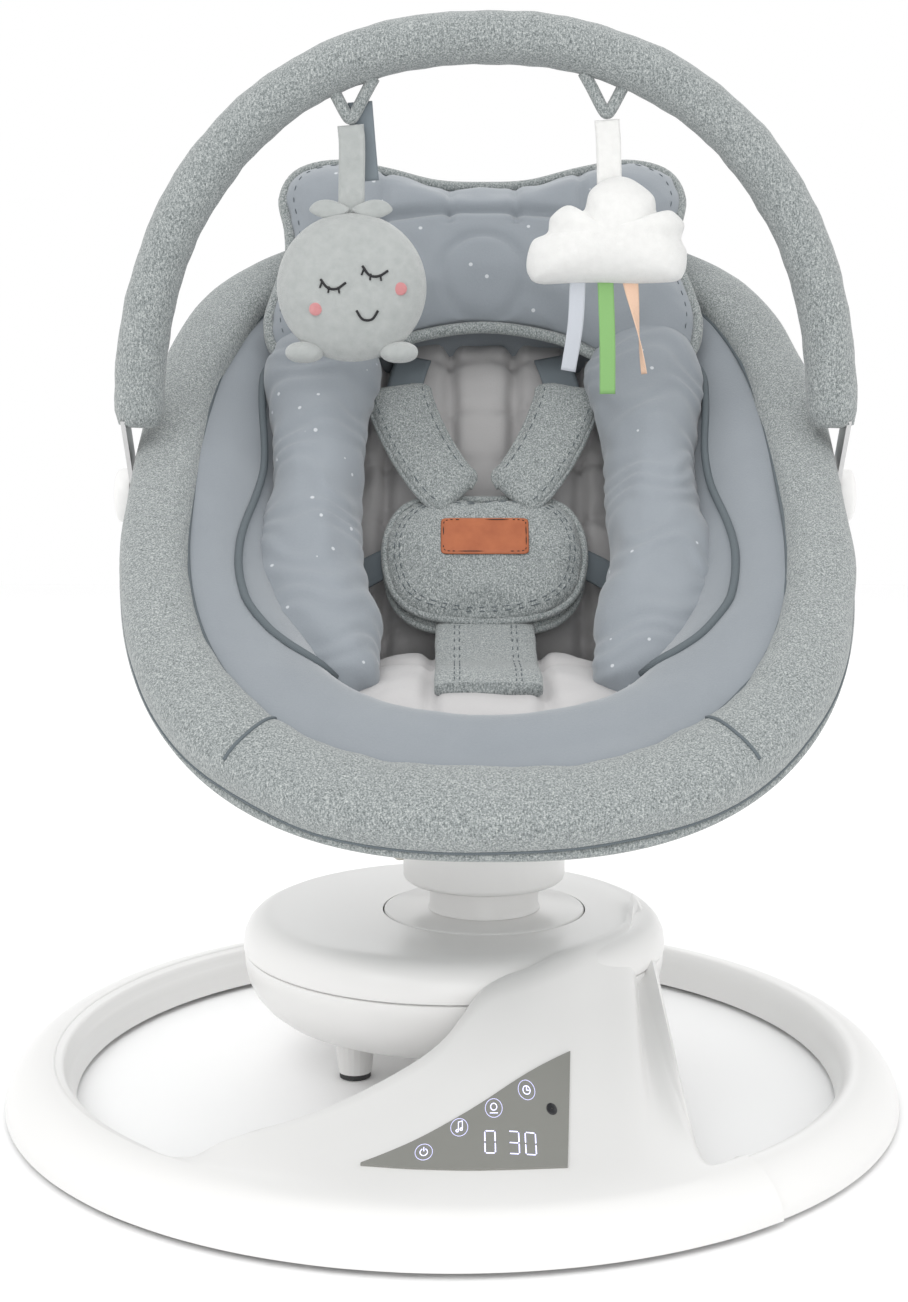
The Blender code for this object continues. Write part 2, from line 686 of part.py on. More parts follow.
def make_harness(seat, buckle):
    """Straps and pads of the harness, the leather label and the buckle with its release button."""
    lean = Vector((0, 0.53, 0.85)).normalized()
    out = Vector((0, -0.85, 0.53)).normalized()

    def front(x, z, lift=0.0):
        """A point over the backrest at this height, lifted off it towards the baby."""
        return Vector((SEAT_X + x, 0.0665 + (z - 0.350) * 0.54, z)) + out * (0.0130 + lift)

    for name, side in (("left", -1), ("right", 1)):
        strap = [
            front(side * 0.048, 0.488),
            front(side * 0.051, 0.468, 0.004),
            front(side * 0.052, 0.452, 0.010),
        ]
        add(f"shoulder_strap_{name}", ribbon(strap, (1, 0, 0), 0.0125, 0.0020), "webbing", seat)
        path = [
            front(side * 0.052, 0.449, 0.015),
            front(side * 0.046, 0.425, 0.021),
            front(side * 0.034, 0.395, 0.0265),
        ]
        add(f"shoulder_pad_{name}", ribbon(path, (1, 0, 0), 0.0205, 0.0110), "melange_fabric", seat)
        waist = [
            front(side * 0.0965, 0.330, 0.001),
            front(side * 0.084, 0.337, 0.006),
            front(side * 0.0705, 0.343, 0.012),
        ]
        add(f"waist_strap_{name}", ribbon(waist, lean, 0.0100, 0.0020), "webbing", seat)
    belly = front(0, 0.339, 0.0215)
    belly_mesh = pad(belly, (1, 0, 0), lean, 0.068, 0.048, 0.0095, 2.8)
    add("belly_pad", belly_mesh, "melange_fabric", seat, smooth=60)
    label = belly + lean * 0.010 + out * 0.0106
    add("leather_label", block(label, (0.058, 0.026, 0.0016), turn_to(lean, out)), "leather", seat)
    buckle_place = belly - lean * 0.010 - out * 0.0150
    housing = add("buckle", block(buckle_place, (0.044, 0.036, 0.0110), turn_to(lean, out), 0.002),
                  "black_plastic", seat)
    pocket = block(buckle_place - lean * 0.0198, (0.0212, 0.0200, 0.0080), turn_to(lean, out))
    boolean(housing, add("button_pocket", pocket, "black_plastic"))
    button = buckle_place - lean * 0.0170
    add("buckle_button", block(button, (0.020, 0.0095, 0.0070), turn_to(lean, out), 0.0015), "black_plastic",
        buckle)
    crotch = [front(0, 0.2925, 0.0330), side_view(-0.050, 0.2805), side_view(-0.096, 0.2785)]
    add("crotch_pad", ribbon(crotch, (1, 0, 0), 0.033, 0.0080), "melange_fabric", seat)


def turn_to(lean, out):
    """A turn that takes Y to lean and Z to out."""
    return Matrix((lean.cross(out), lean, out)).transposed()


# Toy bar and toys

def bar_point(angle):
    """A point of the bar's arch: 0 is its right end and pi its left end."""
    x, z = rounded(angle, 2.2)
    return BAR_PIVOT + Vector((BAR_HALF_WIDTH * x, 0, BAR_RISE * z))


def make_toy_bar(seat, bar, shell):
    bpy.context.view_layer.update()
    tree = BVHTree.FromObject(shell, bpy.context.evaluated_depsgraph_get())
    steps = 30
    arch = [bar_point(math.pi * i / steps) for i in range(steps + 1)]
    core = add("toy_bar_core", swept(arch, 0.0060, 8), "steel", bar)
    sleeve = [bar_point(math.pi * (0.035 + 0.93 * i / steps)) for i in range(steps + 1)]
    sleeve_bm = tube_around(sleeve, SLEEVE_RADIUS, 0.0074, 10)
    add("toy_bar_sleeve", sleeve_bm, "melange_fabric", bar, smooth=80)
    for name, side in (("left", -1), ("right", 1)):
        def beside(x, place):
            return Vector((SEAT_X + side * x, place.y, place.z))

        hit = tree.ray_cast(beside(0.40, HUB), Vector((-side, 0, 0)))
        inner = abs(hit[0].x - SEAT_X) + 0.0012
        base_mesh = cylinder(beside(inner, HUB), beside(0.2370, HUB), 0.0150, 16)
        base = add(f"hub_base_{name}", base_mesh, "steel")
        arm = (HUB - BAR_PIVOT).normalized()
        wide = Vector((0, -arm.z, arm.y)) * 0.0085
        ends = (BAR_PIVOT - arm * 0.0085, HUB + arm * 0.014)
        rings = [[beside(x, p) for p in (ends[0] - wide, ends[0] + wide, ends[1] + wide, ends[1] - wide)]
                 for x in (0.2363, 0.2393)]
        bracket = add(f"bar_bracket_{name}", loft(rings), "steel", seat)
        near = BAR_PIVOT + Vector((0, 0, 0.0032))
        hole = cylinder(beside(0.230, near), beside(0.245, near), 0.0034, 12)
        boolean(bracket, base, "UNION")
        boolean(bracket, add(f"bracket_hole_{name}", hole, "steel"))
        add(f"side_hub_{name}", cylinder(beside(0.2396, HUB), beside(0.2505, HUB), 0.0190, 24, 0.0170),
            "white_plastic", seat)
        near = BAR_PIVOT + Vector((0, 0, 0.0032))
        pin = cylinder(beside(0.2290, near), beside(0.2425, near), 0.0030, 12)
        boolean(core, add(f"bar_pin_{name}", pin, "steel"), "UNION")


def tube_around(path, outer, inner, sides):
    """A thick sleeve along a path, open at both ends."""
    count = len(path)
    rings = []
    for i, place in enumerate(path):
        along = (path[min(i + 1, count - 1)] - path[max(i - 1, 0)]).normalized()
        side = Vector((0, 1, 0))
        up = along.cross(side).normalized()
        turn = [2 * math.pi * j / sides for j in range(sides)]
        rings.append([[place + (side * math.cos(a) + up * math.sin(a)) * r for a in turn]
                      for r in (outer, inner)])
    skins = loft([outside for outside, _ in rings] + [inside for _, inside in reversed(rings)],
                 closed=True)
    return skins


def bar_above(x):
    """The bar's centreline height over x, measured from the seat's middle plane."""
    c = (abs(x) / BAR_HALF_WIDTH) ** (2.2 / 2)
    return BAR_PIVOT.z + BAR_RISE * math.sin(math.acos(c)) ** (2 / 2.2)


def make_toys(left, right):
    """Both toys hang from the bar: a round plush face, and a cloud with three ribbons."""
    y = BAR_PIVOT.y

    def hanging(name, x, top, bottom, look):
        strap = ribbon([Vector((x, y, top)), Vector((x, y, bottom))], (1, 0, 0), 0.0085, 0.0022)
        return add(name, strap, look)

    centre = Vector((LEFT_TOY_X, y, 0.5370))
    face_mesh = pad(centre, (1, 0, 0), (0, 0, 1), 0.049, 0.048, 0.017, 2.0)
    face = add("left_toy_face", face_mesh, "grey_plush", left, 80)
    boolean(face, hanging("left_toy_strap", LEFT_TOY_X, LEFT_TOY_TOP, 0.575, "grey_plush"), "UNION")
    centre = Vector((RIGHT_TOY_X, y, 0.5720))
    outline = ((-0.052, -0.017), (-0.044, -0.031), (0.046, -0.031), (0.053, -0.018),
               (0.050, 0.004), (0.036, 0.013), (0.026, 0.029), (0.006, 0.036),
               (-0.013, 0.027), (-0.018, 0.012), (-0.040, 0.003))
    rings = [[centre + Vector((x * s, depth, z * s)) for x, z in outline]
             for depth, s in ((-0.016, 0.82), (-0.009, 1.0), (0.009, 1.0), (0.016, 0.82))]
    cloud = add("right_toy_cloud", loft(rings), "white_plush", right, 80)
    boolean(cloud, hanging("right_toy_strap", RIGHT_TOY_X, RIGHT_TOY_TOP, 0.590, "white_plush"), "UNION")
    ribbons = (("blue_ribbon", -0.020, -0.006, 0.074),
               ("green_ribbon", 0.000, 0.003, 0.086),
               ("peach_ribbon", 0.018, 0.010, 0.077))
    for name, x, sway, length in ribbons:
        start = centre + Vector((x, 0, -0.0213))
        end = start + Vector((sway, 0, -length))
        boolean(cloud, add(name, ribbon([start, end], (1, 0, 0), 0.0050, 0.0012), name), "UNION")


LEFT_TOY_TOP = bar_above(LEFT_TOY_X - SEAT_X) - SLEEVE_RADIUS - 0.0050
RIGHT_TOY_TOP = bar_above(RIGHT_TOY_X - SEAT_X) - SLEEVE_RADIUS - 0.0050


def main():
    clear_scene()
    swing = pivot("swing_axis", SHAFT)
    seat = pivot("recline_axis", RECLINE, swing)
    tab = pivot("lock_tab_axis", Vector((SHAFT.x - COLLAR_RADIUS, SHAFT.y, 0.1545)), swing)
    buckle = pivot("buckle_button_axis", Vector((SEAT_X, 0.0, 0.330)), seat)
    bar = pivot("toy_bar_axis", BAR_PIVOT, seat)
    left = pivot("left_toy_axis", Vector((LEFT_TOY_X, BAR_PIVOT.y, LEFT_TOY_TOP)), bar)
    right = pivot("right_toy_axis", Vector((RIGHT_TOY_X, BAR_PIVOT.y, RIGHT_TOY_TOP)), bar)
    make_rear_ring()
    column = make_column()
    make_ring_cover()
    make_ring_pads()
    make_housing()
    make_housing_bottom()
    make_drive(swing)
    make_panel(column)
    make_turntable(swing)
    make_lock_tab(tab)
    make_seat_mount(seat)
    shell = make_tub(seat)
    make_padding(seat)
    make_harness(seat, buckle)
    make_toy_bar(seat, bar, shell)
    make_toys(left, right)


main()
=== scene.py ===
"""Looks of the baby swing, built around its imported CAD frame. Metres, +Z up, -Y is the front."""
import json
import math

import bmesh
import bpy
import numpy as np
from mathutils import Matrix, Vector, noise
from mathutils.bvhtree import BVHTree


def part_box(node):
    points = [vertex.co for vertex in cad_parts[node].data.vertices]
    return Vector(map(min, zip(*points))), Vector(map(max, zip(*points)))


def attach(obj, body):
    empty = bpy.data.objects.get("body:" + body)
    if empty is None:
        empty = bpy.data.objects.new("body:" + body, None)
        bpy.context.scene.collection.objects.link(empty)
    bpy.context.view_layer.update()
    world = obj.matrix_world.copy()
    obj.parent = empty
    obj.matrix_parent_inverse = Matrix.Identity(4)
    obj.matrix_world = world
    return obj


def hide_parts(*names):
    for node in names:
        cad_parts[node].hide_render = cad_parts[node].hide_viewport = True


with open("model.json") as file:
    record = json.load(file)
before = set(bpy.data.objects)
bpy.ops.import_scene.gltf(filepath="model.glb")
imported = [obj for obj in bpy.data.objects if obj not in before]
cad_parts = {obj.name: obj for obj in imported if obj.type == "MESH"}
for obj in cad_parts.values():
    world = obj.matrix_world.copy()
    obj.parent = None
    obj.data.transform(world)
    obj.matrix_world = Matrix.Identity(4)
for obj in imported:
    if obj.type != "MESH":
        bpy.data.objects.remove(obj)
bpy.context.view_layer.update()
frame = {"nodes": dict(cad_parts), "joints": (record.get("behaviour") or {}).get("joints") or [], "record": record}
JOINTS = {joint["name"]: joint for joint in frame["joints"]}
SHAFT = Vector(JOINTS["swing"]["pos_m"])
BAR_PIVOT = Vector(JOINTS["toy_bar_fold"]["pos_m"])
SEAT_X = SHAFT.x
TAU = 2 * math.pi


# Mesh helpers

def link(name, mesh, material, body, slot):
    """A smooth piece with its material and the body that it rides; the slot is not used."""
    obj = bpy.data.objects.new(name, mesh)
    bpy.context.scene.collection.objects.link(obj)
    mesh.materials.append(material)
    mesh.shade_smooth()
    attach(obj, body)
    return obj


def link_bmesh(name, bm, material, body, slot):
    mesh = bpy.data.meshes.new(name)
    bm.to_mesh(mesh)
    bm.free()
    return link(name, mesh, material, body, slot)


def grid_mesh(name, points, close_u=False, close_v=False, caps=False):
    """A mesh from a grid of points; caps close the first and last rows."""
    points = np.asarray([[tuple(p) for p in row] for row in points], float)
    rows, cols = points.shape[:2]
    faces = []
    for i in range(rows if close_u else rows - 1):
        for j in range(cols if close_v else cols - 1):
            a, b = i * cols + j, i * cols + (j + 1) % cols
            c, d = (i + 1) % rows * cols + (j + 1) % cols, (i + 1) % rows * cols + j
            faces.append((a, b, c, d))
    if caps:
        faces.append(tuple(range(cols - 1, -1, -1)))
        faces.append(tuple(range((rows - 1) * cols, rows * cols)))
    mesh = bpy.data.meshes.new(name)
    mesh.from_pydata(points.reshape(-1, 3).tolist(), [], faces)
    bm = bmesh.new()
    bm.from_mesh(mesh)
    bmesh.ops.remove_doubles(bm, verts=bm.verts, dist=1e-7)
    bmesh.ops.recalc_face_normals(bm, faces=bm.faces)
    bm.to_mesh(mesh)
    bm.free()
    return mesh


def apply_modifier(obj, kind, **settings):
    """Bakes one modifier into the piece's mesh."""
    modifier = obj.modifiers.new(kind.lower(), kind)
    for key, value in settings.items():
        setattr(modifier, key, value)
    graph = bpy.context.evaluated_depsgraph_get()
    graph.update()
    baked = bpy.data.meshes.new_from_object(obj.evaluated_get(graph))
    obj.modifiers.remove(modifier)
    old = obj.data
    obj.data = baked
    baked.shade_smooth()
    bpy.data.meshes.remove(old)
    return obj


def superellipse(angle, power):
    """The cosine and sine of an angle, squared off more as power grows from 2."""
    c, s = math.cos(angle), math.sin(angle)
    return math.copysign(abs(c) ** (2 / power), c), math.copysign(abs(s) ** (2 / power), s)


def spline(a, b, c, d, t):
    """The place at t, from 0 to 1, between b and c on a curve through four points."""
    return 0.5 * ((b * 2) + (c - a) * t + (a * 2 - b * 5 + c * 4 - d) * t ** 2
                  + (b * 3 - a - c * 3 + d) * t ** 3)


def catmull(points, count):
    """Evenly counted points on a smooth curve through the given ones."""
    points = [Vector(p) for p in points]
    padded = [points[0] * 2 - points[1]] + points + [points[-1] * 2 - points[-2]]
    out = []
    for i in range(count):
        s = i / (count - 1) * (len(points) - 1)
        k = min(int(s), len(points) - 2)
        out.append(spline(*padded[k:k + 4], s - k))
    return out


def frames_along(path, up, closed=False):
    """For each point of a path: the point, its side and its normal, kept near the direction up."""
    out = []
    count = len(path)
    for i, place in enumerate(path):
        before = path[i - 1] if i or closed else place
        after = path[(i + 1) % count] if i < count - 1 or closed else place
        along = (after - before).normalized()
        want = up[i] if isinstance(up, list) else up
        side = along.cross(want).normalized()
        out.append((place, side, side.cross(along).normalized()))
    return out


def cord(name, path, radius, sides, up, look, closed=False):
    """A round cord along a path, for piping, seams and threads."""
    rows = []
    for place, side, normal in frames_along(path, up, closed):
        rows.append([place + side * radius * math.cos(a) + normal * radius * math.sin(a)
                     for a in (TAU * j / sides for j in range(sides))])
    return link(name, grid_mesh(name, rows, close_u=closed, close_v=True, caps=not closed), *look)


def strap_mesh(name, path, up, half_width, thick, columns=9, twist=0.0, taper=1.0):
    """A woven strap or ribbon: a thin flat band with slightly rolled edges."""
    rows = []
    path = [Vector(p) for p in path]
    placed = frames_along(path, up)
    for i, (place, side, normal) in enumerate(placed):
        t = i / (len(placed) - 1)
        turn = Matrix.Rotation(twist * t, 3, side.cross(normal))
        wide, deep = turn @ side, turn @ normal
        half = half_width * (1 + (taper - 1) * t)
        ring = [place + wide * half * (2 * j / (columns - 1) - 1) + deep * thick / 2 for j in range(columns)]
        ring += [place + wide * half * (1 - 2 * j / (columns - 1)) - deep * thick / 2
                 for j in range(columns)]
        rows.append(ring)
    return grid_mesh(name, rows, close_v=True, caps=True)


def ruffle(obj, amount, scale, seed=0.0):
    """Small soft unevenness along the normals, as stuffed fabric has."""
    mesh = obj.data
    normals = [v.normal.copy() for v in mesh.vertices]
    for vertex, normal in zip(mesh.vertices, normals):
        vertex.co += normal * amount * noise.noise(vertex.co * scale + Vector((seed, seed, seed)))
    mesh.update()
    return obj


def puff(obj, cap, pressure=4.0, voxel=0.005, frames=20):
    """Swells a pad by cloth simulation, with no point moving further than cap."""
    apply_modifier(obj, "REMESH", mode="VOXEL", voxel_size=voxel)
    start = np.array([v.co[:] for v in obj.data.vertices])
    cloth = obj.modifiers.new("cloth", "CLOTH")
    cloth.settings.use_pressure = True
    cloth.settings.uniform_pressure_force = pressure
    cloth.settings.effector_weights.gravity = 0.0
    cloth.settings.tension_stiffness = 15
    cloth.settings.bending_stiffness = 0.5
    cloth.point_cache.frame_end = frames
    scene = bpy.context.scene
    for number in range(1, frames + 1):
        scene.frame_set(number)
    graph = bpy.context.evaluated_depsgraph_get()
    end = np.array([v.co[:] for v in obj.evaluated_get(graph).to_mesh().vertices])
    obj.modifiers.remove(cloth)
    scene.frame_set(1)
    move = end - start
    size = np.linalg.norm(move, axis=1, keepdims=True)
    move *= np.minimum(1, cap / np.maximum(size, 1e-9))
    swollen = start + move
    # The cloth draws the outline in as it swells: stretch it back to the size it was sewn to.
    span, sewn = np.ptp(swollen, axis=0), np.ptp(start, axis=0)
    middle, sewn_middle = ((points.min(axis=0) + points.max(axis=0)) / 2 for points in (swollen, start))
    swollen = (swollen - middle) * np.maximum(1, sewn / span) + sewn_middle
    obj.data.vertices.foreach_set("co", swollen.ravel())
    obj.data.update()
    apply_modifier(obj, "SUBSURF", levels=1, render_levels=1)
    return obj


# Materials

class Look:
    """A material under construction: short calls that add and join shader nodes."""

    def __init__(self, name, colour, roughness, metallic=0.0):
        self.material = bpy.data.materials.new(name)
        self.material.use_nodes = True
        self.tree = self.material.node_tree
        self.shader = self.tree.nodes["Principled BSDF"]
        self.shader.inputs["Base Color"].default_value = (*colour, 1)
        self.shader.inputs["Roughness"].default_value = roughness
        self.shader.inputs["Metallic"].default_value = metallic
        self.place = self.add("ShaderNodeTexCoord").outputs["Object"]

    def add(self, kind, **settings):
        node = self.tree.nodes.new(kind)
        for key, value in settings.items():
            setattr(node, key, value)
        return node

    def join(self, a, b):
        self.tree.links.new(a, b)

    def noise(self, scale, detail=3.0, stretch=None, roughness=0.55):
        node = self.add("ShaderNodeTexNoise")
        node.inputs["Scale"].default_value = scale
        node.inputs["Detail"].default_value = detail
        node.inputs["Roughness"].default_value = roughness
        source = self.place
        if stretch:
            mapping = self.add("ShaderNodeMapping")
            mapping.inputs["Scale"].default_value = stretch
            self.join(self.place, mapping.inputs["Vector"])
            source = mapping.outputs["Vector"]
        self.join(source, node.inputs["Vector"])
        return node.outputs["Fac"]

    def ramp(self, value, stops):
        node = self.add("ShaderNodeValToRGB")
        ramp = node.color_ramp
        while len(ramp.elements) < len(stops):
            ramp.elements.new(0.5)
        for element, (position, colour) in zip(ramp.elements, stops):
            element.position = position
            element.color = (*colour, 1) if len(colour) == 3 else colour
        self.join(value, node.inputs["Fac"])
        return node.outputs["Color"]

    def math(self, operation, a, b):
        node = self.add("ShaderNodeMath", operation=operation)
        for socket, value in zip(node.inputs, (a, b)):
            if isinstance(value, (int, float)):
                socket.default_value = value
            else:
                self.join(value, socket)
        return node.outputs["Value"]

    def mix(self, factor, a, b, kind="MIX"):
        node = self.add("ShaderNodeMix", data_type="RGBA", blend_type=kind)
        for socket, value in ((node.inputs["Factor"], factor), (node.inputs[6], a), (node.inputs[7], b)):
            if isinstance(value, (int, float)):
                socket.default_value = value
            elif isinstance(value, tuple):
                socket.default_value = (*value, 1)
            else:
                self.join(value, socket)
        return node.outputs[2]

    def colour(self, value):
        self.join(value, self.shader.inputs["Base Color"])
        return self

    def roughness(self, value):
        self.join(value, self.shader.inputs["Roughness"])
        return self

    def bump(self, height, strength, distance):
        node = self.add("ShaderNodeBump")
        node.inputs["Strength"].default_value = strength
        node.inputs["Distance"].default_value = distance
        self.join(height, node.inputs["Height"])
        self.join(node.outputs["Normal"], self.shader.inputs["Normal"])
        return self

    def set(self, **values):
        for key, value in values.items():
            self.shader.inputs[key.replace("_", " ")].default_value = value
        return self


def plastic(name, colour, roughness):
    look = Look(name, colour, roughness)
    fine = look.noise(1400, 2)
    broad = look.noise(7, 2)
    look.colour(look.mix(look.math("MULTIPLY", broad, 0.10), colour, tuple(c * 0.93 for c in colour)))
    look.roughness(look.math("ADD", look.math("MULTIPLY", fine, 0.10), roughness - 0.05))
    look.bump(fine, 0.06, 0.0002)
    return look.material


def melange():
    """Marled yarn: light and dark flecks stretched along a fine knit."""
    look = Look("melange_look", (0.35, 0.39, 0.38), 0.95)
    flecks = look.noise(1050, 3, (1.0, 1.0, 0.50), 0.7)
    second = look.noise(1900, 2, (0.45, 1.0, 1.0), 0.7)
    both = look.math("ADD", look.math("MULTIPLY", flecks, 0.60), look.math("MULTIPLY", second, 0.40))
    yarn = look.ramp(both, [(0.36, (0.085, 0.098, 0.099)), (0.46, (0.195, 0.218, 0.218)),
                            (0.54, (0.315, 0.338, 0.336)), (0.68, (0.60, 0.62, 0.61))])
    look.colour(yarn)
    look.bump(both, 0.55, 0.0012)
    look.set(Sheen_Weight=0.25, Sheen_Roughness=0.6)
    return look.material


def pile(name, dark, light, sheen=0.5, scale=900):
    """Short brushed pile, with soft lighter and darker strokes."""
    look = Look(name, light, 0.92)
    broad = look.noise(22, 3)
    fine = look.noise(scale, 3, None, 0.7)
    look.colour(look.mix(fine, look.mix(broad, dark, light), light, "MIX"))
    look.bump(fine, 0.35, 0.0006)
    look.set(Sheen_Weight=sheen, Sheen_Roughness=0.45)
    return look


def starry(name, dark, light):
    """Brushed cotton with a print of tiny scattered stars."""
    look = pile(name, dark, light, 0.35)
    cells = look.add("ShaderNodeTexVoronoi", feature="F1")
    cells.inputs["Scale"].default_value = 62
    cells.inputs["Randomness"].default_value = 0.85
    look.join(look.place, cells.inputs["Vector"])
    star = look.math("LESS_THAN", cells.outputs["Distance"], 0.085)
    under = look.shader.inputs["Base Color"].links[0].from_socket
    look.colour(look.mix(look.math("MULTIPLY", star, 0.55), under, (0.78, 0.80, 0.83)))
    return look.material


def plush(name, dark, light):
    look = Look(name, light, 0.95)
    fur = look.noise(1300, 4, None, 0.8)
    clump = look.noise(170, 3)
    look.colour(look.mix(clump, dark, light))
    look.bump(look.math("ADD", fur, clump), 0.6, 0.0012)
    look.set(Sheen_Weight=0.7, Sheen_Roughness=0.5)
    return look.material


def woven(name, colour, scale=1500):
    look = Look(name, colour, 0.8)
    wave = look.add("ShaderNodeTexWave", wave_type="BANDS", bands_direction="DIAGONAL")
    wave.inputs["Scale"].default_value = scale / 3
    wave.inputs["Distortion"].default_value = 0.4
    look.join(look.place, wave.inputs["Vector"])
    look.colour(look.mix(wave.outputs["Fac"], tuple(c * 0.72 for c in colour), colour))
    look.bump(wave.outputs["Fac"], 0.3, 0.0004)
    return look.material


def leather():
    look = Look("leather_look", (0.38, 0.10, 0.03), 0.5)
    grain = look.add("ShaderNodeTexVoronoi", feature="DISTANCE_TO_EDGE")
    grain.inputs["Scale"].default_value = 900
    look.join(look.place, grain.inputs["Vector"])
    look.colour(look.mix(look.noise(90, 4), (0.28, 0.065, 0.02), (0.46, 0.14, 0.05)))
    look.bump(grain.outputs["Distance"], 0.4, 0.0003)
    return look.material


def glow(name, colour, strength):
    look = Look(name, colour, 0.4)
    look.set(Emission_Strength=strength)
    look.shader.inputs["Emission Color"].default_value = (*colour, 1)
    look.roughness(look.math("ADD", look.math("MULTIPLY", look.noise(500), 0.05), 0.35))
    return look.material


def metal(name, colour, roughness):
    look = Look(name, colour, roughness, 1.0)
    brush = look.noise(400, 3, (1, 1, 0.05))
    look.roughness(look.math("ADD", look.math("MULTIPLY", brush, 0.2), roughness - 0.1))
    look.bump(brush, 0.08, 0.0001)
    return look.material


WHITE = plastic("white_look", (0.785, 0.78, 0.77), 0.30)
BEIGE = plastic("beige_look", (0.68, 0.66, 0.60), 0.45)
BLACK = plastic("black_look", (0.025, 0.025, 0.028), 0.35)
GEAR = plastic("gear_look", (0.75, 0.72, 0.62), 0.45)
BOARD = plastic("board_look", (0.03, 0.16, 0.07), 0.5)
RUBBER = plastic("rubber_look", (0.05, 0.05, 0.05), 0.85)
LENS = plastic("lens_look", (0.27, 0.27, 0.25), 0.16)
STEEL = metal("steel_look", (0.62, 0.62, 0.62), 0.35)
MELANGE = melange()
VELVET = pile("velvet_look", (0.190, 0.212, 0.235), (0.262, 0.287, 0.312)).material
STARRY = starry("starry_look", (0.212, 0.235, 0.260), (0.285, 0.312, 0.340))
PALE = pile("pale_look", (0.46, 0.455, 0.455), (0.54, 0.53, 0.53), 0.3).material
SEAM = woven("seam_look", (0.13, 0.155, 0.17))
WEB = woven("webbing_look", (0.20, 0.235, 0.26), 1800)
HIDE = leather()
GREY_PLUSH = plush("grey_plush_look", (0.33, 0.35, 0.345), (0.47, 0.49, 0.48))
WHITE_PLUSH = plush("white_plush_look", (0.72, 0.72, 0.705), (0.83, 0.83, 0.815))
PINK = plush("pink_look", (0.50, 0.17, 0.18), (0.62, 0.30, 0.30))
THREAD = woven("thread_look", (0.02, 0.02, 0.022))
RIBBONS = {
    "blue_ribbon": woven("blue_ribbon_look", (0.58, 0.61, 0.66), 2500),
    "green_ribbon": woven("green_ribbon_look", (0.26, 0.50, 0.18), 2500),
    "peach_ribbon": woven("peach_ribbon_look", (0.90, 0.62, 0.46), 2500),
}
GLOW = glow("glow_look", (0.66, 0.66, 0.95), 1.5)
DIM_GLOW = glow("dim_glow_look", (0.55, 0.55, 0.80), 0.8)

# A look as link takes it: the material, the body that the piece rides, and its slot in the record.
SEAT_MELANGE = (MELANGE, "seat", "melange_fabric")
SEAT_STARRY = (STARRY, "seat", "starry_fabric")
SEAT_PALE = (PALE, "seat", "pale_fabric")
SEAT_WEB = (WEB, "seat", "webbing")
SEAT_SEAM = (SEAM, "seat", "melange_fabric")
BAR_MELANGE = (MELANGE, "toy_bar", "melange_fabric")
BASE_WHITE = (WHITE, "base", "white_plastic")
SWING_WHITE = (WHITE, "swing", "white_plastic")
FACE_GREY = (GREY_PLUSH, "left_toy", "grey_plush")
CLOUD_WHITE = (WHITE_PLUSH, "right_toy", "white_plush")
SLOT_LOOKS = {
    "white_plastic": WHITE, "black_plastic": BLACK, "beige_plastic": BEIGE, "gear_plastic": GEAR,
    "smoked_lens": LENS, "circuit_board": BOARD, "rubber": RUBBER, "steel": STEEL,
    "melange_fabric": MELANGE, "velvet_fabric": VELVET, "starry_fabric": STARRY, "pale_fabric": PALE,
    "webbing": WEB, "leather": HIDE, "grey_plush": GREY_PLUSH, "white_plush": WHITE_PLUSH,
}
for part in frame["record"]["subparts"]:
    mesh = frame["nodes"][part["node"]].data
    mesh.materials.clear()
    mesh.materials.append(SLOT_LOOKS[part["material_slot"]])


# Shaped helpers

def turned_look(name, profile, centre, material, body, slot, nodes, segments=96):
    """A turned skin; the profile of (radius, height) runs once round its section or from rim to axis."""
    rows = [[Vector((centre.x + r * math.cos(a), centre.y + r * math.sin(a), z)) for r, z in profile]
            for a in (TAU * i / segments for i in range(segments))]
    obj = link(name, grid_mesh(name, rows, close_u=True), material, body, slot)
    obj.data.set_sharp_from_angle(angle=math.radians(40))
    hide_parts(*nodes)
    return obj


def sausage(name, path, up, widths, depths, material, body, slot, power=2.6, sides=28):
    """A stuffed roll: superellipse sections along a path, with a half width and depth at each point."""
    rows = []
    for (place, side, normal), wide, deep in zip(frames_along(path, up), widths, depths):
        ring = []
        for j in range(sides):
            x, y = superellipse(TAU * j / sides, power)
            ring.append(place + side * wide * x + normal * deep * y)
        rows.append(ring)
    return link(name, grid_mesh(name, rows, close_v=True, caps=True), material, body, slot)


def outline_pad(name, outline, centre, across, along, thick, material, body, slot, flat=2.6, rings=9):
    """A crowned pad from its outline, a list of (across, along) points round its centre."""
    across, along = across.normalized(), along.normalized()
    normal = across.cross(along)
    levels = [math.sin(math.pi / 2 * k / rings) for k in range(1, rings + 1)]
    rows = []
    for sign, sizes in ((1, levels), (-1, levels[-2::-1])):
        for size in sizes:
            lift = sign * thick * max(0.0, 1 - size ** flat) ** 0.55
            rows.append([centre + across * x * size + along * y * size + normal * lift for x, y in outline])
    return link(name, grid_mesh(name, rows, close_v=True, caps=True), material, body, slot)


def smooth_outline(points, count=96):
    """A closed smooth outline through given points."""
    points = [Vector((x, y, 0)) for x, y in points]
    total = len(points)
    out = []
    for i in range(count):
        s = i / count * total
        p = spline(*(points[(int(s) + n) % total] for n in (-1, 0, 1, 2)), s - int(s))
        out.append((p.x, p.y))
    return out


def surface_tree(obj):
    mesh = obj.data
    return BVHTree.FromPolygons([v.co for v in mesh.vertices], [p.vertices for p in mesh.polygons])


def mirrored(points):
    """The right half of an outline, from the top down, and its mirror image."""
    return points + [(-x, y) for x, y in reversed(points) if abs(x) > 1e-6]


def oval(half_width, half_length, power=3.0, count=96):
    return [(half_width * x, half_length * y) for x, y in
            (superellipse(TAU * i / count, power) for i in range(count))]


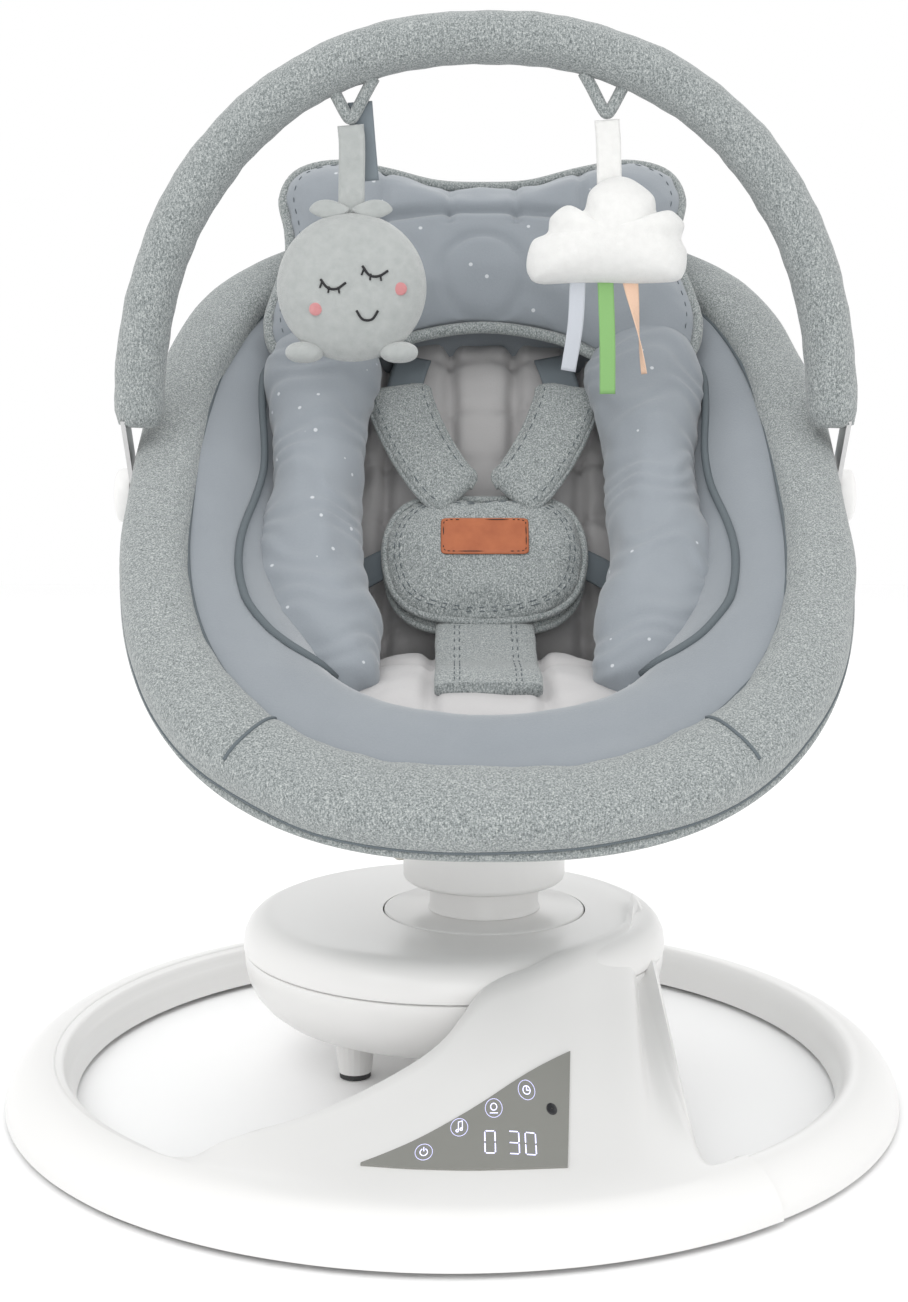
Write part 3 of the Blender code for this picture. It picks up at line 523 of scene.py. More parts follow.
def press(obj, centre, across, along, depth):
    """Sinks sewn channels and tufts into a pad's front, as deep as depth(across, along) says."""
    normal = across.cross(along).normalized()
    mesh = obj.data
    normals = [v.normal.copy() for v in mesh.vertices]
    for vertex, facing in zip(mesh.vertices, normals):
        front = facing.dot(normal)
        if front > 0.1:
            place = vertex.co - centre
            vertex.co -= normal * depth(place.dot(across), place.dot(along)) * min(1, front * 2)
    mesh.update()
    return obj


def groove(distance, width):
    """A soft dip, 1 at its middle."""
    return math.exp(-(distance / width) ** 2)


def surface_points(obj, points, direction, lift=0.0):
    """The points dropped along a direction on to a piece."""
    tree = surface_tree(obj)
    out = []
    for place in points:
        hit = tree.ray_cast(place - direction * 0.12, direction)[0]
        out.append((hit or place) - direction * lift)
    return out


def stitches(name, path, body, slot, material=SEAM, dash=0.0036, gap=0.0018, radius=0.00042):
    """A row of short threads along a path."""
    bm = bmesh.new()
    distance, on = 0.0, True
    start = path[0]
    for before, after in zip(path, path[1:]):
        distance += (after - before).length
        if distance >= (dash if on else gap):
            if on and (after - start).length > 1e-5:
                axis = after - start
                turn = axis.to_track_quat("Z", "Y").to_matrix().to_4x4()
                place = Matrix.Translation((start + after) / 2) @ turn @ Matrix.Diagonal(
                    (radius, radius, axis.length / 2, 1))
                bmesh.ops.create_icosphere(bm, subdivisions=1, radius=1.0, matrix=place)
            on, distance, start = not on, 0.0, after
    return link_bmesh(name, bm, material, body, slot)


# Base: ring, column, housing, turntable

RING_PROFILE = [(0.3000, 0.0030), (0.2983, 0.0110), (0.2925, 0.0200), (0.2835, 0.0270), (0.2730, 0.0300),
                (0.2660, 0.0270), (0.2610, 0.0185), (0.2585, 0.0030)]
HOUSING = Vector((0.0, 0.030, 0.0))
housing_low, housing_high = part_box("housing_top_cover")
HOUSING_RADIUS = (housing_high.x - housing_low.x) / 2
HOUSING_TOP = housing_high.z


def polar(degrees, radius, height):
    a = math.radians(degrees)
    return Vector((radius * math.cos(a), radius * math.sin(a), height))


def ring_row(degrees):
    outer = [polar(degrees, r, z) for r, z in RING_PROFILE[:5]]
    inner = [polar(degrees, r, z) for r, z in RING_PROFILE[4:]]
    for i in range(1, 10):
        t = i / 9 * 3
        k = min(int(t), 2)
        outer.append(inner[k].lerp(inner[k + 1], t - k))
    return outer


def column_row(degrees, top):
    crest = polar(degrees, *RING_PROFILE[4])
    foot = polar(degrees, *RING_PROFILE[-1])
    rise = top.z - crest.z
    control = crest * 0.55 + top * 0.45
    control.z = crest.z + rise * 0.14
    if degrees > -65:
        control.x -= 0.020
    row = [polar(degrees, r, z) for r, z in RING_PROFILE[:5]]
    for t in (0.2, 0.4, 0.6, 0.8, 1.0):
        row.append(crest * (1 - t) ** 2 + control * 2 * t * (1 - t) + top * t ** 2)
    behind, under, low = top.lerp(foot, 0.06), top.lerp(foot, 0.30), top.lerp(foot, 0.80)
    behind.z = top.z - rise * 0.45
    under.z = 0.003 + max(0.012, rise * 0.32)
    low.z = 0.009
    return row + [behind, under, low, foot]


def beside_housing(degrees, height, radius):
    a = math.radians(degrees)
    return HOUSING + Vector((radius * math.cos(a), radius * math.sin(a), height))


def make_column():
    """The swept column and the ring's front and left, one moulding that ends on the housing's flat top."""
    rows = [ring_row(120 + 106 * i / 14) for i in range(15)] + [ring_row(232.5)]
    reach = HOUSING_RADIUS + 0.0008
    flat = HOUSING_TOP + 0.0004
    for degrees, top in (
            (-120, Vector((-0.130, -0.203, 0.035))),
            (-112, Vector((-0.089, -0.190, 0.043))),
            (-104, Vector((-0.048, -0.172, 0.055))),
            (-97, Vector((-0.008, -0.148, 0.073))),
            (-91, beside_housing(-82, 0.099, reach)),
            (-85, beside_housing(-70, 0.1085, reach - 0.004)),
            (-79, beside_housing(-56, flat, reach - 0.014)),
            (-73, beside_housing(-42, flat, reach - 0.020)),
            (-67, beside_housing(-24, flat, reach - 0.021)),
            (-61.5, beside_housing(-2, flat - 0.001, reach - 0.018))):
        rows.append(column_row(degrees, top))
    rows += [ring_row(-57.5), ring_row(-52.1)]
    rows = [catmull(row, 44) for row in rows]
    columns = [catmull(list(column), 190) for column in zip(*rows)]
    fine = list(zip(*columns))
    obj = link("column_look", grid_mesh("column_look", fine), *BASE_WHITE)
    obj.data.flip_normals()
    apply_modifier(obj, "SOLIDIFY", thickness=0.0022, offset=-1.0)
    obj.data.set_sharp_from_angle(angle=math.radians(50))
    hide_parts("column_shell")
    return obj


def make_ring():
    start, end = -51.9, 119.9
    rows = [catmull([polar(start + (end - start) * i / 110, r, z) for r, z in RING_PROFILE], 26)
            for i in range(111)]
    obj = link("rear_ring_look", grid_mesh("rear_ring_look", rows), *BASE_WHITE)
    apply_modifier(obj, "SOLIDIFY", thickness=0.0022, offset=-1.0)
    obj.data.set_sharp_from_angle(angle=math.radians(50))
    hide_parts("rear_ring")


def make_housing():
    """The cap with its shallow dish round the turntable, and the bowl below the joint line."""
    segments, dish = 144, 0.026
    disc_radius = (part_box("turntable_disc")[1].x - SEAT_X) + 0.0010
    shoulder = [(0.1255, HOUSING_TOP), (0.1320, 0.1121), (0.1385, 0.1093), (0.1432, 0.1047),
                (0.1461, 0.0985), (HOUSING_RADIUS, 0.0920), (HOUSING_RADIUS, 0.0888), (0.1462, 0.0881),
                (0.1440, 0.0881), (0.1440, 0.0960), (0.1400, 0.1050), (0.1250, 0.1105)]
    rows = []
    for i in range(segments):
        a = TAU * i / segments
        arm = Vector((math.cos(a), math.sin(a), 0))
        hole = Vector((SEAT_X, SHAFT.y, 0)) + arm * disc_radius
        edge = HOUSING + arm * shoulder[0][0]
        row = [hole + Vector((0, 0, HOUSING_TOP - 0.0030))]
        for k in range(9):
            place = hole.lerp(edge, k / 9)
            away = min(1.0, (place - Vector((SEAT_X, SHAFT.y, 0))).length / dish - disc_radius / dish)
            sink = 0.0014 * (1 - away * away * (3 - 2 * away))
            row.append(Vector((place.x, place.y, HOUSING_TOP - sink)))
        row += [HOUSING + arm * r + Vector((0, 0, z)) for r, z in shoulder]
        row.append(hole + Vector((0, 0, HOUSING_TOP - 0.0032)))
        rows.append(row)
    cap = link("housing_cap_look", grid_mesh("housing_cap_look", rows, close_u=True, close_v=True),
               *BASE_WHITE)
    cap.data.set_sharp_from_angle(angle=math.radians(45))
    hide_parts("housing_top_cover")
    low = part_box("housing_bowl")[0].z
    bowl = [(0.0925, low), (0.108, low), (0.118, low + 0.0008), (0.1265, low + 0.0045),
            (0.1345, low + 0.0110), (0.1400, low + 0.0180), (0.1438, low + 0.0260), (0.1458, low + 0.0350),
            (0.1463, low + 0.0440), (0.1461, 0.0868), (0.1452, 0.0874), (0.1440, 0.0874), (0.1436, 0.0760),
            (0.1388, 0.0620), (0.1270, 0.0500), (0.1110, 0.0448), (0.0925, 0.0446), (0.0925, low)]
    turned_look("housing_bowl_look", bowl, HOUSING, *BASE_WHITE, ["housing_bowl"], 144)


def make_turntable():
    """The disc, neck and collar that turn on the shaft, and the lock tab at the collar."""
    low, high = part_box("turntable_disc")
    r = high.x - SEAT_X
    turned_look("disc_look", [(0.0, high.z), (r - 0.0012, high.z), (r - 0.0004, high.z - 0.0004),
                              (r, high.z - 0.0012), (r, low.z), (0.0, low.z)], SHAFT, *SWING_WHITE,
                ["turntable_disc"], 128)
    low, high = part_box("neck")
    r = high.x - SEAT_X
    turned_look("neck_look", [(0.0, high.z), (r, high.z), (r, low.z + 0.003), (r + 0.0008, low.z + 0.0012),
                              (r + 0.0012, low.z), (0.0, low.z)], SHAFT, *SWING_WHITE, ["neck"], 96)
    low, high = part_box("collar")
    r = high.x - SEAT_X
    z = low.z
    turned_look("collar_look", [(0.0, z + 0.004), (r - 0.0035, z + 0.004), (r - 0.0035, high.z - 0.001),
                                (r - 0.0025, high.z), (r - 0.0010, high.z), (r, high.z - 0.001),
                                (r, z + 0.0045), (r - 0.0008, z + 0.0022), (r - 0.0030, z + 0.0005),
                                (r - 0.0055, z), (0.0, z)], SHAFT, *SWING_WHITE, ["collar"], 128)
    tab_low, tab_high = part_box("lock_tab")
    centre = (tab_low + tab_high) / 2
    half = (tab_high - tab_low) / 2
    outline = mirrored([(0.0, half.z), (half.x * 0.5, half.z * 0.9), (half.x * 0.95, half.z * 0.35),
                        (half.x * 0.95, -half.z * 0.5), (half.x * 0.4, -half.z * 0.98), (0.0, -half.z)])
    tab = outline_pad("lock_tab_look", smooth_outline(outline, 40), centre, Vector((1, 0, 0)),
                      Vector((0, 0, 1)), half.y, BEIGE, "lock_tab", "beige_plastic", flat=6.0, rings=7)
    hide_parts("lock_tab")


def make_panel(column):
    """The smoked lens with lit touch icons and digits, laid on the column's ramp."""
    tree = surface_tree(column)

    def drop(x, y, lift):
        hit = tree.ray_cast(Vector((x, y, 0.3)), Vector((0, 0, -1)))
        return hit[0] + Vector((0, -0.40, 0.91)) * lift

    low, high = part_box("panel_lens")
    left = Vector((low.x, low.y + 0.005))
    top = Vector((high.x, high.y))
    right = Vector((high.x - 0.007, low.y + 0.001))
    rows = []
    count = 40
    for i in range(count + 1):
        t = 0.02 + 0.98 * i / count
        bend = Vector((0, 0.007 * math.sin(math.pi * t)))
        a, b = left.lerp(top, t) - bend, left.lerp(right, t) - bend
        lane = [a.lerp(b, j / 12) for j in range(13)]
        rows.append([drop(p.x, p.y, 0.0014) for p in lane]
                    + [drop(p.x, p.y, -0.0004) for p in reversed(lane)])
    lens = link("panel_lens_look", grid_mesh("panel_lens_look", rows, close_v=True, caps=True), LENS, "base",
                "smoked_lens")
    lens.data.set_sharp_from_angle(angle=math.radians(50))
    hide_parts("panel_lens")

    def mark(name, paths, radius, material=GLOW):
        bm = bmesh.new()
        for path in paths:
            points = [drop(x, y, 0.0015) for x, y in path]
            for a, b in zip(points, points[1:]):
                axis = b - a
                if axis.length < 1e-6:
                    continue
                turn = axis.to_track_quat("Z", "Y").to_matrix().to_4x4()
                size = (radius, radius, axis.length / 2 + radius * 0.6, 1)
                place = Matrix.Translation((a + b) / 2) @ turn @ Matrix.Diagonal(size)
                bmesh.ops.create_cone(bm, cap_ends=True, segments=8, radius1=1, radius2=1, depth=2,
                                      matrix=place)
        return link_bmesh(name, bm, material, "base", "smoked_lens")

    def circle(x, y, r, start=0.0, turn=TAU, steps=26):
        angles = [start + turn * i / steps for i in range(steps + 1)]
        return [(x + r * math.cos(a), y + 1.38 * r * math.sin(a)) for a in angles]

    keys = {"power": (-0.0170, -0.2330), "music": (0.0030, -0.2150),
            "sway": (0.0230, -0.2015), "timer": (0.0425, -0.1875)}
    for name, (x, y) in keys.items():
        mark(f"key_ring_{name}", [circle(x, y, 0.0049)], 0.00020, DIM_GLOW)
    x, y = keys["power"]
    mark("icon_power", [circle(x, y, 0.0021, math.radians(120), math.radians(300)),
                        [(x, y + 0.001), (x, y + 0.004)]], 0.00024)
    x, y = keys["music"]
    stems = [(x - 0.0005, y - 0.002), (x - 0.0005, y + 0.004), (x + 0.0018, y + 0.0048),
             (x + 0.0018, y - 0.001)]
    left_head = circle(x - 0.0012, y - 0.0025, 0.0007, steps=10)
    right_head = circle(x + 0.0011, y - 0.0015, 0.0007, steps=10)
    mark("icon_music", [left_head, stems, right_head], 0.00022)
    x, y = keys["sway"]
    mark("icon_sway", [circle(x, y + 0.001, 0.0018), [(x - 0.0022, y - 0.0035), (x + 0.0022, y - 0.0035)]],
         0.00024)
    x, y = keys["timer"]
    mark("icon_timer", [circle(x, y, 0.0021), [(x, y + 0.0025), (x, y), (x + 0.0013, y)]], 0.00024)
    low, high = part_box("infrared_window")
    x, y = (low.x + high.x) / 2 - 0.0010, (low.y + high.y) / 2 - 0.0040
    dome = [[drop(x + r * math.cos(a), y + 1.38 * r * math.sin(a), lift)
             for r, lift in ((0.0031, 0.0010), (0.0031, 0.0017), (0.0026, 0.0020), (0.0004, 0.0021))]
            for a in (TAU * i / 40 for i in range(40))]
    window = link("infrared_window_look", grid_mesh("infrared_window_look", dome, close_u=True), BLACK,
                  "base", "smoked_lens")
    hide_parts("infrared_window")
    segments = {"0": "abcdef", "3": "abgcd"}
    for index, digit in enumerate("030"):
        x0, y0 = 0.0175 + 0.0095 * index + (0.004 if index else 0), -0.2355
        wide, tall = 0.0058, 0.0172
        corners = {"a": ((0, 1), (1, 1)), "b": ((1, 1), (1, .5)), "c": ((1, .5), (1, 0)),
                   "d": ((0, 0), (1, 0)), "e": ((0, 0), (0, .5)), "f": ((0, .5), (0, 1)),
                   "g": ((0, .5), (1, .5))}
        paths = []
        for letter in segments[digit]:
            (ax, ay), (bx, by) = corners[letter]
            a = Vector((x0 + ax * wide, y0 + ay * tall))
            b = Vector((x0 + bx * wide, y0 + by * tall))
            paths.append([tuple(a.lerp(b, 0.12)), tuple(a.lerp(b, 0.88))])
        mark(f"digit_{index + 1}", paths, 0.00032)


column = make_column()
make_ring()
make_housing()
make_turntable()
make_panel(column)


# Seat

RIM_TILT = math.radians(38.21)
RIM_LENGTH = 0.299                    # half the rim's length along its slope
border_low, border_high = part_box("seat_border")
RIM_MIDDLE = Vector((SEAT_X, (border_low.y + border_high.y) / 2, (border_low.z + border_high.z) / 2))
RIM_HALF_WIDTH = (border_high.x - border_low.x) / 2
ACROSS = Vector((1, 0, 0))
RIM_DOWN = Vector((0, 0.62, -0.79))
BOLSTER_FRONT = Vector((0, -0.8, 0.6))
LEAN = Vector((0, 0.53, 0.85)).normalized()
OUT = Vector((0, -0.85, 0.53)).normalized()


def rim_point(angle, inset, below, front=None, back=None, half=RIM_HALF_WIDTH):
    """A point round the seat: angle 0 at the top. front, back and half give a lower level than the rim."""
    along = Vector((0, math.cos(RIM_TILT), math.sin(RIM_TILT)))
    middle, length = RIM_MIDDLE, RIM_LENGTH
    if front is not None:
        along, middle, length = (back - front).normalized(), (front + back) / 2, (back - front).length / 2
    down = Vector((0, along.z, -along.y))
    x, y = math.sin(angle), math.cos(angle)
    power = 2.5 + 0.6 / (1 + math.exp(-y * 9))
    y = math.copysign(abs(y) ** (2 / power), y)
    x = math.copysign(abs(x) ** (2 / power), x)
    return middle + along * (length - inset) * y + ACROSS * (half - inset) * x + down * below


# The tub's outer wall, level by level: its (y, z) in front, its (y, z) behind, its half width.
TUB_LEVELS = [((-0.2290, 0.2120), (0.2240, 0.5680), 0.222), ((-0.2020, 0.2060), (0.2430, 0.5200), 0.220),
              ((-0.1600, 0.2015), (0.2480, 0.4500), 0.212), ((-0.1150, 0.1970), (0.2350, 0.3800), 0.190),
              ((-0.0700, 0.1935), (0.2000, 0.3050), 0.155), ((-0.0300, 0.1905), (0.1500, 0.2450), 0.105),
              ((0.0000, 0.1885), (0.0850, 0.2020), 0.055)]


def tub_row(angle, inset):
    """The points of the tub's wall at one angle, from the rim down."""
    row = []
    for (fy, fz), (by, bz), half in TUB_LEVELS:
        row.append(rim_point(angle, inset, -inset, Vector((SEAT_X, fy, fz)), Vector((SEAT_X, by, bz)), half))
    return row


# The liner's bank as (inset from the rim, depth below it): at the sides, and at the front.
LINER_SIDE = [(0.034, 0.004), (0.043, 0.001), (0.060, 0.006), (0.076, 0.020), (0.090, 0.038), (0.102, 0.056)]
LINER_FRONT = [(0.040, 0.004), (0.050, 0.000), (0.066, 0.002), (0.086, 0.004), (0.102, 0.010),
               (0.112, 0.032)]


def hug(obj, points, lift):
    """The points moved to the nearest place on a piece, then off it."""
    tree = surface_tree(obj)
    nearest = [tree.find_nearest(place) for place in points]
    return [near[0] + near[1] * lift for near in nearest]


def make_tub():
    segments = 120
    bottom = Vector((SEAT_X, 0.040, 0.1950))
    rows = []
    for i in range(segments):
        angle = TAU * i / segments
        rows.append(catmull([rim_point(angle, 0.006, 0.010)] + tub_row(angle, 0.0)
                            + [bottom + Vector((0, 0, 0.001))], 44))
    shell = link("seat_cover_look", grid_mesh("seat_cover_look", rows, close_u=True), *SEAT_MELANGE)
    ruffle(shell, 0.0012, 22)
    shell.data.flip_normals()
    apply_modifier(shell, "SOLIDIFY", thickness=0.0035, offset=-1.0)
    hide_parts("seat_shell")
    rows = []
    for i in range(segments):
        angle = TAU * i / segments
        front = max(0.0, -math.cos(angle))
        row = []
        for side_place, front_place in zip(LINER_SIDE, LINER_FRONT):
            inset, below = (a + (b - a) * front for a, b in zip(side_place, front_place))
            row.append(rim_point(angle, inset, below))
        for (fy, fz), (by, bz), half in TUB_LEVELS[2:]:
            ends = (Vector((SEAT_X, fy, fz)), Vector((SEAT_X, by, bz)))
            row.append(rim_point(angle, half * 0.34, -0.010, *ends, half) + Vector((0, 0, 0.004)))
        rows.append(catmull(row + [bottom + Vector((0, 0, 0.045))], 56))
    liner = link("seat_liner_look", grid_mesh("seat_liner_look", rows, close_u=True), VELVET, "seat",
                 "velvet_fabric")
    ruffle(liner, 0.0030, 14, 3.0)
    ruffle(liner, 0.0008, 60, 5.0)
    apply_modifier(liner, "SOLIDIFY", thickness=0.005, offset=1.0)
    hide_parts("seat_liner")
    return liner


def make_border():
    """The padded melange rim, its rolled outer piping and the seam where it meets the liner."""
    segments, sides = 200, 26
    thick = 0.0175
    rows = []
    for i in range(segments):
        angle = TAU * i / segments
        gather = 0.0007 * math.sin(angle * 46) + 0.0006 * math.sin(angle * 29 + 1)
        front = max(0.0, -math.cos(angle)) ** 2
        row = []
        for j in range(sides):
            x, y = superellipse(TAU * j / sides, 2.5)
            inset = 0.0222 + 0.004 * front - (0.0215 + 0.004 * front) * x
            crown = thick * y * (1 + 0.10 * front) + gather * (0.5 - 0.5 * x)
            row.append(rim_point(angle, inset, -crown))
        rows.append(row)
    border = link("seat_border_look", grid_mesh("seat_border_look", rows, close_u=True, close_v=True),
                  *SEAT_MELANGE)
    ruffle(border, 0.0022, 16, 1.0)
    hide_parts("seat_border")
    edge = [rim_point(TAU * i / 240, 0.0030, 0.0105) for i in range(240)]
    cord("border_piping", edge, 0.0034, 10, RIM_DOWN, SEAT_MELANGE, closed=True)
    groove_line = [rim_point(TAU * i / 240, 0.0017, 0.0052) for i in range(240)]
    groove_line = hug(border, groove_line, 0.0001)
    cord("border_groove", groove_line, 0.0009, 8, RIM_DOWN, SEAT_SEAM, closed=True)
    seam = [rim_point(a, 0.0425 + 0.008 * max(0.0, -math.cos(a)) ** 2, -0.0040)
            for a in (TAU * i / 240 for i in range(240))]
    cord("border_seam", seam, 0.0016, 8, RIM_DOWN, SEAT_SEAM, closed=True)
    normal = Vector((0, -math.sin(RIM_TILT), math.cos(RIM_TILT)))
    for name, degrees in (("left", 216), ("right", 144)):
        angle = math.radians(degrees)
        line = [rim_point(angle, 0.006 + 0.040 * k / 30, -0.010) for k in range(31)]
        on = surface_points(border, line, -normal, 0.0002)
        cord(f"front_panel_seam_{name}", on, 0.0011, 8, normal, SEAT_SEAM)
    return border


def make_bolsters():
    """Two gathered side rolls with a wavy outer edge and a dark piped seam."""
    for name, side in (("left", -1), ("right", 1)):
        path = catmull([Vector((SEAT_X + side * w, y, z)) for w, y, z in (
            (0.084, -0.092, 0.282), (0.101, -0.060, 0.304), (0.114, -0.016, 0.346), (0.118, 0.030, 0.396),
            (0.116, 0.068, 0.446), (0.108, 0.100, 0.492), (0.098, 0.125, 0.520))], 72)
        widths, depths = [], []
        for i in range(72):
            t = i / 71
            close = min(1.0, 0.32 + 1.5 * math.sqrt(min(t, 1 - t)))
            wave = 0.0036 * math.cos(TAU * (t - 0.25) / 0.6)
            path[i] = path[i] + Vector((side * wave, 0, 0))
            widths.append((0.0395 + wave) * close)
            depths.append(0.0290 * close)
        roll = sausage(f"bolster_{name}_look", path, BOLSTER_FRONT, widths, depths, *SEAT_STARRY, power=2.1,
                       sides=32)
        puff(roll, 0.006)
        middle = sum((v.co for v in roll.data.vertices), Vector()) / len(roll.data.vertices)
        mesh = roll.data
        for vertex in mesh.vertices:
            run = (vertex.co - middle).dot(LEAN)
            gather = 0.0006 * math.sin(run * 330 + 9 * noise.noise(vertex.co * 24))
            vertex.co += vertex.normal * (gather + 0.0030 * noise.noise(vertex.co * 34))
        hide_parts(f"bolster_{name}")
        placed = frames_along(path, BOLSTER_FRONT)
        edge = []
        for (place, across, normal), wide in zip(placed, widths):
            out = across if across.x * side > 0 else -across
            edge.append(place + out * (wide + 0.0010) + normal * 0.014)
        edge = surface_points(LINER, edge, Vector((0, math.sin(RIM_TILT), -math.cos(RIM_TILT))), 0.0012)
        cord(f"bolster_piping_{name}", edge, 0.0027, 10, BOLSTER_FRONT, (SEAM, "seat", "starry_fabric"))


def node_middle(name):
    """The middle of a CAD node's box."""
    low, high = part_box(name)
    return (low + high) / 2


def make_cushions():
    """The quilted backrest and the seat pad."""
    along = Vector((0, 0.116, 0.215)).normalized()
    centre = node_middle("backrest_pad") - along * 0.008
    back = outline_pad("backrest_look", oval(0.116, 0.135, 5.0), centre, ACROSS, along, 0.019, *SEAT_PALE,
                       flat=5.0)
    puff(back, 0.007)

    def quilting(x, y):
        channel = 0.0105 * sum(groove(x - c, 0.0050) for c in (-0.070, -0.0235, 0.0235, 0.070))
        row = groove((y + 0.128) % 0.043 - 0.0215, 0.0050)
        tufts = 0.0045 * row * (0.6 - 0.4 * math.cos(x * TAU / 0.0466))
        return channel + tufts

    press(back, centre, ACROSS, along, quilting)
    ruffle(back, 0.0014, 55, 2.0)
    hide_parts("backrest_pad")

    middle = node_middle("seat_pad") + Vector((0, -0.010, 0.012))
    flat_along = Vector((0, 0.150, 0.012)).normalized()
    seat = outline_pad("seat_pad_look", oval(0.112, 0.086, 3.0), middle, ACROSS, flat_along, 0.018,
                       *SEAT_PALE, flat=4.0)
    puff(seat, 0.007)

    def channels(x, y):
        long_channels = 0.0055 * (groove(x - 0.036, 0.005) + groove(x + 0.036, 0.005))
        return long_channels + 0.004 * groove(y - 0.02, 0.006)

    press(seat, middle, ACROSS, flat_along, channels)
    ruffle(seat, 0.0016, 45, 4.0)
    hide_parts("seat_pad")


def make_pillow():
    """The bow-shaped head pillow, with a piped edge, an arched seam and short channels."""
    low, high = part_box("head_pillow")
    centre = (low + high) / 2
    along = Vector((0, 0.085, 0.153)).normalized()
    normal = ACROSS.cross(along)
    outline = smooth_outline(mirrored([(0.0, 0.068), (0.035, 0.070), (0.072, 0.081), (0.108, 0.088),
                                       (0.136, 0.080), (0.147, 0.058), (0.142, 0.030), (0.141, 0.004),
                                       (0.149, -0.024), (0.154, -0.050), (0.147, -0.075), (0.122, -0.087),
                                       (0.088, -0.080), (0.052, -0.062), (0.0, -0.053)]), 150)
    pillow = outline_pad("head_pillow_look", outline, centre, ACROSS, along, 0.019, *SEAT_STARRY,
                         flat=4.5, rings=12)
    puff(pillow, 0.006)

    def seams(x, y):
        arc = groove(y - (0.012 + 0.020 * math.cos(x * 11)), 0.0040)
        channels = sum(groove(x - c, 0.0035) for c in (-0.072, -0.024, 0.024, 0.072)) if y > 0.02 else 0
        return 0.0065 * arc + 0.0040 * channels + 0.0030 * groove(math.hypot(x, y + 0.020) - 0.030, 0.004)

    press(pillow, centre, ACROSS, along, seams)
    ruffle(pillow, 0.0016, 48, 7.0)
    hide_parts("head_pillow")
    edge = [centre + ACROSS * x + along * y + normal * 0.001 for x, y in outline]
    cord("pillow_piping", edge, 0.0042, 12, normal, SEAT_MELANGE, closed=True)
    line = [centre + ACROSS * x * 0.945 + along * y * 0.925 for x, y in outline]
    line.append(line[0])
    stitches("pillow_stitching", surface_points(pillow, line, -normal, 0.0004), "seat", "starry_fabric")
    return pillow


def harness_front(x, z, lift=0.0):
    """A point over the backrest at this height, lifted off it towards the baby."""
    return Vector((SEAT_X + x, 0.0665 + (z - 0.350) * 0.54, z)) + OUT * (0.0130 + lift)


